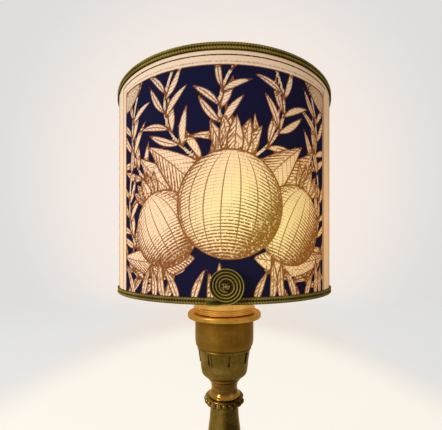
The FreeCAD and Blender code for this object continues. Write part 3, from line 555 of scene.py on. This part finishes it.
# %% [markdown]
# ### The printed cotton
#
# Light comes through the cloth from the lamp inside it. It is not traced here: the
# cloth glows by itself, most where the lamp is near, and the print tints that glow as ink
# does. Navy ink stops nearly all of it, and the brown ink turns golden. The engraving is
# hatching whose lines grow wide with the tone, broken up by a fine noise as on a worn plate.
# The glow has a hot heart a little right of the front, and a wide band at the same height.

# %% Printed cotton
hatch_step, weave_step = 1.4, 0.55    # millimetres, like the widths of the glow
heart_right, heart_wide, heart_tall, band_tall = 17.0, 44.0, 40.0, 78.0
heart_height = 297 * MM

paint = Paint("printed_cotton")
ground, edge, rib, vein, tone, hatch = [
    paint.node("Attribute", {"attribute_name": name}, output="Fac")
    for name in ("ground", "edge", "rib", "vein", "tone", "hatch")]
x, y, z = paint.position()
grain = paint.noise(900.0, 4.0, 0.6)
blotch = paint.noise(60.0, 3.0)
wobble = (grain - 0.5) * 0.35

cream_share = 1.0 - (ground + wobble).rise(-0.14, 0.14)
outline = 1.0 - (abs(edge + wobble)).rise(0.30, 0.56)
centre_rib = (1.0 - (abs(rib + wobble)).rise(0.18, 0.44)) * 0.9
vein_line = (1.0 - (abs((vein + grain * 0.15).fraction() - 0.5)).rise(0.03, 0.09)) * 0.75
stripe = (hatch * (2 * math.pi / hatch_step) + (grain - 0.5) * 4.0).sine() * 0.5 + 0.5
deep = (1.0 - (abs(edge)).rise(0.2, 2.4)) * 0.14 + tone
hatching = (stripe + deep - 1.0).rise(-0.22, 0.30) * (grain.rise(0.30, 0.48))
engraved = outline.largest(centre_rib).largest(vein_line).largest(hatching)

cream = paint.mix(blotch, (0.63, 0.52, 0.40), (0.69, 0.58, 0.46))
brown = paint.mix(blotch, (0.080, 0.036, 0.016), (0.130, 0.060, 0.026))
navy = paint.mix(grain, (0.003, 0.004, 0.022), (0.008, 0.009, 0.040))
colour = paint.mix(cream_share, navy, paint.mix(engraved, cream, brown))
through = paint.mix(cream_share, navy, paint.mix(engraved, cream, (0.24, 0.11, 0.012)))

turn = paint.node("Math", {"operation": "ARCTAN2"}, {0: x, 1: -y}) * (cloth_radius / MM)
right = turn - heart_right
high = (z - heart_height) / MM
near = right * right / heart_wide ** 2 + high * high / heart_tall ** 2
hot = paint.node("Math", {"operation": "EXPONENT"}, {0: -near})
band = 1.0 / (1.0 + high * high / band_tall ** 2)
warm = paint.mix(hot * hot, (1.0, 0.50, 0.03), (0.96, 0.90, 0.10))
power = band * 0.63 + hot * 0.33
grey = paint.node("CombineColor", None, {0: power, 1: power, 2: power})
multiply = {"data_type": "RGBA", "blend_type": "MULTIPLY"}
lit = paint.node("Mix", multiply, {0: 1.0, 6: warm, 7: through}, 2)
glow = paint.node("Mix", multiply, {0: 1.0, 6: lit, 7: grey}, 2)

weave_turn = 2 * math.pi / weave_step
weave = (turn * weave_turn).sine() * (high * weave_turn).sine()
dress([cloth], paint.finish(
    Base_Color=colour, Roughness=0.9, Specular_IOR_Level=0.04,
    Emission_Color=glow, Emission_Strength=1.0,
    Normal=paint.bump(weave * 0.5 + grain, 0.25, 0.2 * MM)))
print("printed cotton: %d nodes" % len(paint.tree.nodes))

# %% [markdown]
# ## The lining
#
# Inside the cloth is a white lining card. It is rolled in the same way, and needs few
# faces, since nothing is drawn on it.

# %% Lining
liner_thick = 0.45 * MM
liner_band = 50.0    # millimetres over which the lamp's light on it halves
liner = rolled_strip("shade_lining", liner_high.x, liner_low.z, liner_high.z - liner_low.z,
                     128, 8, liner_thick, 0.0)
settle(liner, "shade", outwards=False)
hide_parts("shade_liner")
paint = Paint("lining_card")
fibre = paint.noise(700.0, 5.0, 0.6)
x, y, z = paint.position()
# The lining glows by itself, most at the bulb's height: a painted glow for the lamp's light on it.
high = (z - bulb_centre_z) / MM
lit = 1.0 / (1.0 + high * high / liner_band ** 2)
dress([liner], paint.finish(
    Base_Color=paint.mix(fibre, (0.86, 0.80, 0.68), (0.92, 0.87, 0.77)), Roughness=0.8,
    Emission_Color=paint.mix(lit, (0.10, 0.05, 0.015), (0.55, 0.34, 0.13)), Emission_Strength=1.0,
    Normal=paint.bump(fibre, 0.2, 0.2 * MM)))

# %% [markdown]
# ## The braid
#
# The trim is a narrow gimp braid: two cords side by side, wrapped so that their threads
# lean towards each other like a row of arrowheads. One straight length is made, as it comes
# off the card: a flat tape, and on it small slanting beads of thread, one model copied
# hundreds of times by Array modifiers. A second step then lays that straight length along
# any path.

# %% A straight length of braid
bead_step = 1.45 * MM


def thread_row(length, across, lean, long, thick, lift):
    """Slanting beads of thread in a row along X, at one side of the tape."""
    fresh()
    bpy.ops.mesh.primitive_uv_sphere_add(segments=8, ring_count=5, radius=1)
    bead = bpy.context.object
    bead.scale = (long / 2, thick / 2, thick * 0.62)
    bead.rotation_euler = (0, -math.radians(lean), 0)
    apply_place(bead)
    count = round(length / bead_step)
    bead.location = (bead_step / 2, lift, across)
    apply_place(bead)
    modify(bead, "ARRAY", count=count, use_relative_offset=False, use_constant_offset=True,
           constant_offset_displace=(length / count, 0, 0))
    return bead


def tape(length, wide, thick):
    """The flat ground of the braid, on its back at y = 0."""
    fresh()
    bpy.ops.mesh.primitive_cube_add(size=1, location=(length / 2, thick / 2, 0))
    strip = bpy.context.object
    strip.scale = (length, thick, wide)
    apply_place(strip)
    bpy.ops.object.mode_set(mode="EDIT")
    bpy.ops.mesh.select_all(action="DESELECT")
    bpy.ops.object.mode_set(mode="OBJECT")
    for side in strip.data.edges:
        first, second = [strip.data.vertices[index].co for index in side.vertices]
        side.select = abs(first.x - second.x) > length / 2
    bpy.ops.object.mode_set(mode="EDIT")
    bpy.ops.mesh.subdivide(number_cuts=max(2, round(length / (2.2 * MM))))
    bpy.ops.object.mode_set(mode="OBJECT")
    return strip


def keep_proud(piece, share):
    """Store how far each corner stands out of the braid, from 0 to 1, for its painted shade."""
    store = piece.data.attributes.new("proud", "FLOAT", "POINT")
    store.data.foreach_set("value", share.astype(np.float32))


def braid_length(name, length, wide, thick):
    """A straight braid: the tape and two rows of leaning beads."""
    row = wide * 0.25
    rows = [thread_row(length, side * row, side * 34, wide * 0.56, thick * 0.9, thick * 0.52)
            for side in (1, -1)]
    braid = join_pieces(name, [tape(length, wide * 0.9, thick * 0.55)] + rows)
    keep_proud(braid, points_of(braid)[:, 1] / thick)
    return braid


print("bead step %.2f mm" % (bead_step / MM))

# %% [markdown]
# ### Laying it round the rims
#
# Each corner of the straight braid keeps its place across the tape, and its place along
# the tape becomes an angle round the rim.

# %% Braids on both rims
def lay_round(piece, radius, height):
    """Bend a straight length into a ring round the lamp's axis, starting at the back."""
    flat = points_of(piece)
    angle = flat[:, 0] / radius
    reach = radius + flat[:, 1]
    move_points(piece, np.stack([
        -reach * np.sin(angle), reach * np.cos(angle), height + flat[:, 2]], axis=1))


braid_back = cloth_radius + 0.05 * MM
braid_thick = braid_radius - braid_back
ring_length = 2 * math.pi * braid_back
braids = []
for name, node in (("lower_braid", "bottom_braid"), ("upper_braid", "top_braid")):
    low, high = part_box(node)
    braid = braid_length(name, ring_length, braid_wide, braid_thick)
    lay_round(braid, braid_back, (low.z + high.z) / 2)
    settle(braid, "shade")
    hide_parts(node)
    braids.append(braid)

# %% [markdown]
# ### The rosette
#
# The end of the braid stands on its edge and is wound into a flat coil, four times round.
# Seen from the front, the coil shows only the braid's edge: the dark side of the tape, and
# a thin light cord on its outer rim. So the winding uses a straight tape with one row of
# small beads on its front edge, and a second row on the tail only. Half circles of shrinking
# radius make the path. On the left the tape leaves the coil, turns flat and joins the braid.
# Thread is softer than its solid in the CAD model, so the coil is wound a third of a
# millimetre fuller, and hangs a little.

# %% The path of the coil
coil_reach = 7.9 * MM    # from the coil's centre to its right side
fuller, hang = 0.35 * MM, 0.6 * MM
coil_centre_x = coil_high.x - coil_reach
coil_centre_z = (coil_low.z + coil_high.z) / 2 - hang
coil_front = coil_low.y
coil_wide = coil_high.y - coil_low.y
coil_tape = 1.38 * MM
coil_radius = coil_reach - coil_tape / 2 + fuller
coil_pitch = 1.45 * MM
coil_halves = 8
tail_long = 9.5 * MM


def coil_path(distance):
    """For each distance along the tape: its place in the coil's plane and its direction."""
    along = np.zeros_like(distance)
    rise = np.zeros_like(distance)
    heading = np.zeros_like(distance)
    tail = distance < tail_long
    along[tail] = distance[tail] - tail_long
    rise[tail] = -coil_radius
    start, radius, centre, side = tail_long, coil_radius, 0.0, 1
    for number in range(coil_halves):
        arc = math.pi * radius
        here = (distance >= start) & ((distance < start + arc) | (number == coil_halves - 1))
        turn = (distance[here] - start) / radius
        along[here] = side * radius * np.sin(turn)
        rise[here] = centre - side * radius * np.cos(turn)
        heading[here] = turn + (0 if side == 1 else math.pi)
        start += arc
        stop = centre + side * radius
        radius -= coil_pitch / 2
        centre = stop - side * radius
        side = -side
    return along, rise, heading


coil_long = tail_long + sum(
    math.pi * (coil_radius - number * coil_pitch / 2) for number in range(coil_halves))
print("coil tape %.0f mm" % (coil_long / MM))

# %% Wind the rosette
fresh()
core = tape(coil_long, coil_wide * 0.62, coil_tape)
core_corners = len(core.data.vertices)
rim_row = thread_row(coil_long, coil_wide * 0.36, lean=10,
                     long=3.0 * MM, thick=0.60 * MM, lift=0.12 * MM)
back_row = thread_row(tail_long, -coil_wide * 0.36, lean=-24,
                      long=1.9 * MM, thick=0.86 * MM, lift=0.55 * MM)
rosette = join_pieces("rosette", [core, rim_row, back_row])
flat = points_of(rosette)
edgewise = np.clip(flat[:, 0] / tail_long, 0, 1)
in_core = np.arange(len(flat)) < core_corners
# The tape's core counts as lower than its beads, so it is painted in shade; the flat tail counts
# as standing out, so it is painted lit.
proud = np.abs(flat[:, 2]) / coil_wide * np.where(in_core, 1.5, 2.7)
keep_proud(rosette, proud * edgewise + np.maximum(proud, 0.7) * (1 - edgewise))

# The tape turns from flat at its end to edgewise in the coil, and is thinner where it is flat.
along, rise, heading = coil_path(flat[:, 0])
thin = (flat[:, 1] - coil_tape / 2) * (0.4 + 0.6 * edgewise)
front = flat[:, 2]
lying = np.clip(1 - flat[:, 0] / tail_long, 0, 1)
lying = lying * lying * (3 - 2 * lying) * math.pi / 2
thin_now = thin * np.cos(lying) - front * np.sin(lying)
front_now = thin * np.sin(lying) + front * np.cos(lying)
x = coil_centre_x + along - thin_now * np.sin(heading)
z = coil_centre_z + rise + thin_now * np.cos(heading)

# The flat tail lies back against the cloth, and its end sinks into the braid of the rim.
sink = (1 - np.cos(lying)) * (coil_wide / 2 - 0.4 * MM)
sink += np.clip(1 - flat[:, 0] / (3 * MM), 0, 1) * 1.1 * MM
y = coil_front + coil_wide / 2 + sink - front_now
move_points(rosette, np.stack([x, y, z], axis=1))
settle(rosette, "shade")
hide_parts("rosette_coil")

# %% [markdown]
# ### The loose end
#
# At the heart of the coil the braid is cut, and a few of its threads have come loose.

# %% Loose threads
golden_angle = math.radians(137.5)
fresh()
bpy.ops.mesh.primitive_cylinder_add(
    vertices=24, radius=2.9 * MM, depth=1.6 * MM, rotation=(math.pi / 2, 0, 0),
    location=(coil_centre_x, coil_front + 2.2 * MM, coil_centre_z))
apply_place(bpy.context.object)
strands = [bpy.context.object]
for number in range(16):
    fresh()
    turn = number * golden_angle
    reach = (0.25 + 0.10 * number) * MM
    bpy.ops.mesh.primitive_cone_add(
        vertices=6, radius1=0.32 * MM, radius2=0.14 * MM, depth=(1.6 + 0.3 * (number % 4)) * MM,
        location=(coil_centre_x + reach * math.cos(turn),
                  coil_front + (0.5 + 0.25 * (number % 4)) * MM,
                  coil_centre_z + reach * math.sin(turn)),
        rotation=(0.35 * math.sin(turn * 2), turn * 1.7 + 0.6, 0.0))
    apply_place(bpy.context.object)
    strands.append(bpy.context.object)
loose_end = join_pieces("loose_threads", strands)
# The threads nearest the front are painted the most lit.
keep_proud(loose_end, (coil_front + 1.7 * MM - points_of(loose_end)[:, 1]) / (1.0 * MM))
settle(loose_end, "shade")

# %% [markdown]
# ### Gimp thread
#
# The thread is a dull olive with old gold in it. Shade is painted between the beads and light
# on their backs, so the colour follows how far a point stands out from the ground of the
# braid, which was kept before the braid was bent.

# %% Gimp thread
paint = Paint("gimp_thread")
proud = paint.node("Attribute", {"attribute_name": "proud"}, output="Fac")
fuzz = paint.noise(2600.0, 3.0, 0.7)
patch = paint.noise(90.0, 2.0)
shade = proud.rise(0.25, 0.95) * 0.75 + fuzz * 0.35 + (patch - 0.5) * 0.35
thread_colour = paint.node("ValToRGB", {"stops": [
    (0.15, (0.012, 0.007, 0.0004)), (0.48, (0.050, 0.031, 0.002)),
    (0.78, (0.140, 0.095, 0.010)), (1.0, (0.350, 0.265, 0.060))]}, {0: shade})
gimp_thread = paint.finish(Base_Color=thread_colour, Roughness=0.7, Specular_IOR_Level=0.05,
                           Normal=paint.bump(fuzz, 0.5, 0.2 * MM))
dress([*braids, rosette, loose_end], gimp_thread)
print("gimp thread on 4 pieces")

# %% [markdown]
# ## The felt under the foot
#
# A disc of felt keeps the brass off the table. Its edge is soft, so the disc's rims are
# bevelled.

# %% Felt
pad_low, pad_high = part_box("foot_pad")
fresh()
bpy.ops.mesh.primitive_cylinder_add(vertices=128, radius=pad_high.x, depth=pad_high.z - pad_low.z,
                                    location=(0, 0, (pad_low.z + pad_high.z) / 2))
felt = bpy.context.object
felt.name = "felt_pad"
apply_place(felt)
modify(felt, "BEVEL", width=0.35 * MM, segments=2, limit_method="ANGLE")
settle(felt, "stand", smooth=30)
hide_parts("foot_pad")
paint = Paint("green_felt")
nap = paint.noise(1800.0, 4.0, 0.7)
dress([felt], paint.finish(
    Base_Color=paint.mix(nap, (0.018, 0.040, 0.020), (0.045, 0.085, 0.045)), Roughness=0.95,
    Sheen_Weight=0.4, Normal=paint.bump(nap, 0.6, 0.4 * MM)))

# %% [markdown]
# ## Old brass
#
# The holder and the stem are brass that has gone olive and brown with age. Three things
# make it: a slow change of tint over the piece, small dark spots, and fine rings left by the
# lathe. Age also dulls the metal, so the roughness follows the tint. Light and shade are
# painted over that: one side lighter than the other, shade under the shade ring, and a
# highlight low on the neck. Each part has aged in its own way, and the rings and the collar
# under the shade are painted lighter, as the lamp lights them, so one recipe takes seven
# sets of colours.

# %% Old brass
ring_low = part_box("lower_shade_ring")[0]
neck_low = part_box("neck")[0]
lathe_step = 0.45 * MM


def old_brass(name, dark, middle, light, rough, lean=0.0, blend=20 * MM, highlight_top=0.0):
    """Aged brass; the three colours run from the tarnished to the worn and bright. lean paints
    the right side darker and the left lighter, as the light and its reflections fall; blend is
    half the width over which that changes. Below the last height given, a band is painted
    lighter, as a highlight."""
    paint = Paint(name)
    x, y, z = paint.position()
    cloud = paint.noise(70.0, 5.0, 0.6)
    spot = paint.noise(420.0, 4.0, 0.65)
    streak = paint.noise(40.0, 3.0, 0.5, stretch=(1.0, 1.0, 3.0))
    tint = cloud * 0.45 + streak * 0.45 + (spot - 0.5) * 0.25
    # Painted light and shade: lighter on the left, darker on the right.
    tint = tint + (0.35 - x.rise(-blend, blend)) * lean
    colour = paint.node("ValToRGB", {"stops": [
        (0.22, dark), (0.45, middle), (0.66, light)]}, {0: tint})
    pits = spot.rise(0.60, 0.72)
    colour = paint.mix(pits * 0.55, colour, dark)
    # Painted shade: the corner under the shade ring is darker, as the ring shades it.
    painted_ring_shade = z.rise(ring_low.z - 6 * MM, ring_low.z)
    painted_ring_shade = painted_ring_shade * (1.0 - z.rise(ring_low.z, ring_low.z + MM))
    colour = paint.mix(painted_ring_shade * 0.75, colour, dark)
    # A painted highlight: below the last height given, the metal is painted lighter.
    if highlight_top:
        painted_highlight = 1.0 - z.rise(highlight_top - 3 * MM, highlight_top)
        colour = paint.mix(painted_highlight * 0.65, colour, light)
    lathe = (z * (2 * math.pi / lathe_step)).sine() * 0.1
    lathe = lathe + paint.noise(300.0, 2.0, 0.5, stretch=(1, 1, 8)) * 0.2
    return paint.finish(
        Base_Color=colour, Metallic=0.85, Specular_Tint=(0.95, 0.75, 0.45),
        Roughness=cloud * 0.22 + pits * 0.2 + (rough - 0.11),
        Normal=paint.bump(lathe - pits * 0.5, 0.10, 0.3 * MM))


jacket_brass = old_brass("brass_of_the_jacket", (0.090, 0.036, 0.001), (0.165, 0.078, 0.006),
                         (0.260, 0.145, 0.026), 0.38, 0.16)
cap_brass = old_brass("brass_of_the_cap", (0.040, 0.020, 0.002), (0.130, 0.078, 0.011),
                      (0.250, 0.165, 0.042), 0.38, 0.26)
neck_brass = old_brass("brass_of_the_neck", (0.048, 0.020, 0.002), (0.135, 0.064, 0.008),
                       (0.380, 0.205, 0.032), 0.18, 0.20, 6 * MM, neck_low.z + 4.5 * MM)
stem_brass = old_brass("brass_of_the_stem", (0.026, 0.012, 0.001), (0.105, 0.060, 0.006),
                       (0.230, 0.150, 0.032), 0.26, 0.32, 3 * MM)
# The rings and the collar just under the shade are painted far lighter, as the lamp's light falls
# on them.
lamplit_ring_brass = old_brass("lamplit_brass_of_the_rings", (0.220, 0.105, 0.012), (0.440, 0.230, 0.034),
                       (0.620, 0.360, 0.080), 0.36)
lamplit_collar_brass = old_brass("lamplit_brass_of_the_collar", (0.400, 0.200, 0.032), (0.740, 0.410, 0.085),
                         (0.900, 0.560, 0.150), 0.34)
new_brass = old_brass("clean_brass", (0.420, 0.270, 0.080), (0.640, 0.440, 0.150),
                      (0.780, 0.580, 0.240), 0.30)
for finish, names in (
        (jacket_brass, ("holder_jacket",)),
        (cap_brass, ("holder_cap",)),
        (neck_brass, ("neck",)),
        (stem_brass, ("gadroon_collar", "column", "foot")),
        (lamplit_ring_brass, ("lower_shade_ring", "clamp_ring")),
        (lamplit_collar_brass, ("fitter_collar",)),
        (new_brass, ("spider_plate", "spider_arms", "bottom_hoop", "top_hoop",
                     "terminal_blocks", "centre_contact", "contact_rivets", "screw_shell"))):
    dress([lamp[name] for name in names], finish)
    print(finish.name, "on", ", ".join(names))

# %% [markdown]
# ## Iron, steel, porcelain and the rest
#
# These pieces hide in the foot, in the holder or in the lamp. Each still gets its own
# finish, because the lamp may be taken apart or cut open later.

# %% Hidden pieces
def plain(name, first, second, scale, rough, metal=0.0, bump=0.2, depth=0.3 * MM, **more):
    """A finish between two near colours, with a matching bump."""
    paint = Paint(name)
    speck = paint.noise(scale, 4.0, 0.6)
    return paint.finish(Base_Color=paint.mix(speck, first, second), Metallic=metal,
                        Roughness=speck * 0.16 + (rough - 0.08),
                        Normal=paint.bump(speck, bump, depth), **more)


finishes = {
    ("foot_weight",): plain("cast_iron", (0.030, 0.028, 0.026), (0.075, 0.070, 0.066), 350, 0.7,
                            0.6, 0.8, 0.8 * MM),
    ("cable_bush",): plain("moulded_bush", (0.020, 0.014, 0.010), (0.040, 0.030, 0.024), 500, 0.5),
    ("tie_rod", "bottom_washer", "bottom_nut", "terminal_screws", "cap_lock_screw"): plain(
        "zinc_on_steel", (0.45, 0.45, 0.44), (0.62, 0.62, 0.60), 260, 0.36, 1.0),
    ("porcelain_insert",): plain("porcelain", (0.80, 0.79, 0.75), (0.86, 0.85, 0.82), 120, 0.22,
                                 0.0, 0.05, Coat_Weight=0.4),
    ("insulating_sleeve",): plain("pressed_fibre", (0.20, 0.10, 0.05), (0.30, 0.17, 0.09), 600,
                                  0.7),
    ("bulb_contact", "lead_wires"): plain("tin", (0.60, 0.60, 0.58), (0.74, 0.74, 0.72), 300,
                                          0.34, 1.0),
    ("cap_insulator",): plain("black_glass", (0.010, 0.010, 0.012), (0.025, 0.025, 0.030), 200,
                              0.15),
    ("bulb_cap",): plain("nickel", (0.58, 0.56, 0.52), (0.72, 0.70, 0.66), 220, 0.28, 1.0),
}
for names, finish in finishes.items():
    dress([lamp[name] for name in names], finish)
print("finishes:", len(finishes))

# %% [markdown]
# ## The glowing lamp
#
# The bulb is opal glass, lit from inside, so its skin glows. Its stem and filament are
# inside and take clear glass and a bright wire. The glow of the skin is only what the eye
# sees; the light that reaches the shade comes from a round light, placed where the bulb is
# and a little larger, which is far less noisy.

# %% Lamp glass and its light
paint = Paint("opal_glass")
x, y, z = paint.position()
swirl = paint.noise(30.0, 2.0)
rise = (z - glass_low.z).rise(0.0, 30 * MM)
dress([lamp["bulb_glass"]], paint.finish(
    Base_Color=(0.92, 0.88, 0.80), Roughness=swirl * 0.1 + 0.12,
    Emission_Color=paint.mix(rise, (0.60, 0.40, 0.20), (1.0, 0.84, 0.58)), Emission_Strength=1.6))

paint = Paint("clear_stem_glass")
dress([lamp["bulb_stem"]], paint.finish(
    Base_Color=paint.mix(paint.noise(50.0), (0.90, 0.93, 0.92), (0.97, 0.98, 0.98)),
    Roughness=0.05, Transmission_Weight=0.9, IOR=1.5))

paint = Paint("hot_wire")
dress([lamp["filament"]], paint.finish(
    Base_Color=(0.30, 0.30, 0.30), Metallic=1.0, Roughness=0.4,
    Emission_Color=paint.mix(paint.noise(400.0), (1.0, 0.55, 0.18), (1.0, 0.68, 0.30)),
    Emission_Strength=6.0))

fresh()
bpy.ops.object.light_add(type="POINT", location=(0, 0, bulb_centre_z))
bulb_light = bpy.context.object
bulb_light.name = "bulb_light"
bulb_light.data.energy = 1.6
bulb_light.data.color = (1.0, 0.66, 0.34)
bulb_light.data.shadow_soft_size = glass_radius + 0.8 * MM
bulb_light.visible_camera = False
bulb_light.visible_glossy = False
print("bulb light %.1f W" % bulb_light.data.energy)

# %% [markdown]
# ## The room
#
# The lamp stands on a pale floor under soft white light, with a warm pool of its own light
# painted on the floor. The floor fades out with distance, so that no horizon shows. The world
# is pale where the camera, a reflection or clear glass looks at it, with the lamp's warm glow
# behind the shade painted in, and dimmer as a light.

# %% Floor and world
floor_radius = 3.0
fade_start, fade_end = 0.9, 2.2
pool_wide, pool_deep = 0.40, 0.85
halo_aim = (0.0, 0.982, 0.187)

fresh()
bpy.ops.mesh.primitive_circle_add(vertices=96, radius=floor_radius, fill_type="NGON",
                                  location=(0, 0, -0.2 * MM))
floor = bpy.context.object
floor.name = "floor"
paint = Paint("pale_floor")
x, y, z = paint.position()
far = ((x * x + y * y) ** 0.5).rise(fade_start, fade_end)
# A warm pool of the lamp's light is painted on the floor, warmer straight behind the lamp, and
# shown only to the camera, reflections and clear glass.
painted_pool = (x * x / pool_wide ** 2 + y * y / pool_deep ** 2) ** 0.5
beyond = paint.mix(abs(x).rise(0.15, 0.6), (0.68, 0.60, 0.52), (0.61, 0.605, 0.60))
shown = paint.mix(painted_pool.rise(0.9, 1.3), (0.78, 0.735, 0.64), beyond)
dress([floor], paint.finish(
    Base_Color=paint.mix(paint.noise(25.0), (0.29, 0.285, 0.28), (0.31, 0.305, 0.30)),
    Roughness=0.9, Specular_IOR_Level=0.1, Alpha=1.0 - far,
    Emission_Color=paint.mix(paint.looked_at(), (0.0, 0.0, 0.0), shown),
    Emission_Strength=1.0))

sky = Paint("pale_room", world=True)
scene.world = sky.material
looking = sky.node("TexCoord", output="Generated")
halo = sky.node("VectorMath", {"operation": "DOT_PRODUCT"}, {
    0: looking, 1: halo_aim}, "Value").rise(0.78, 0.95)
shown = sky.mix(halo, (0.735, 0.725, 0.720), (0.930, 0.840, 0.775))
sky.finish(Color=sky.mix(sky.looked_at(), (0.430, 0.437, 0.450), shown), Strength=1.0)
print("floor and world ready")

# %% [markdown]
# ## Studio lights
#
# A soft light at the front left gives the brass its upright highlight, and a weaker, wider
# one at the right keeps the other side from going black.

# %% Studio lights
holder_middle = np.array([0.0, 0.0, 0.25])


def soft_light(name, place, size, energy, colour=(1.0, 1.0, 1.0)):
    """A square area light that looks at the lampholder."""
    fresh()
    bpy.ops.object.light_add(type="AREA", location=place)
    light = bpy.context.object
    light.name = name
    target = holder_middle - np.array(place)
    flat = math.hypot(target[0], target[1])
    light.rotation_euler = (math.pi / 2 + math.atan2(target[2], flat), 0,
                            math.atan2(-target[0], target[1]))
    light.data.shape = "SQUARE"
    light.data.size = size
    light.data.energy = energy
    light.data.color = colour
    print("%s: %.0f W" % (name, energy))


soft_light("key_light", (-0.95, -0.90, 0.60), 0.34, 12.0)
soft_light("fill_light", (1.1, -0.7, 0.5), 0.8, 1.6, (1.0, 0.93, 0.84))
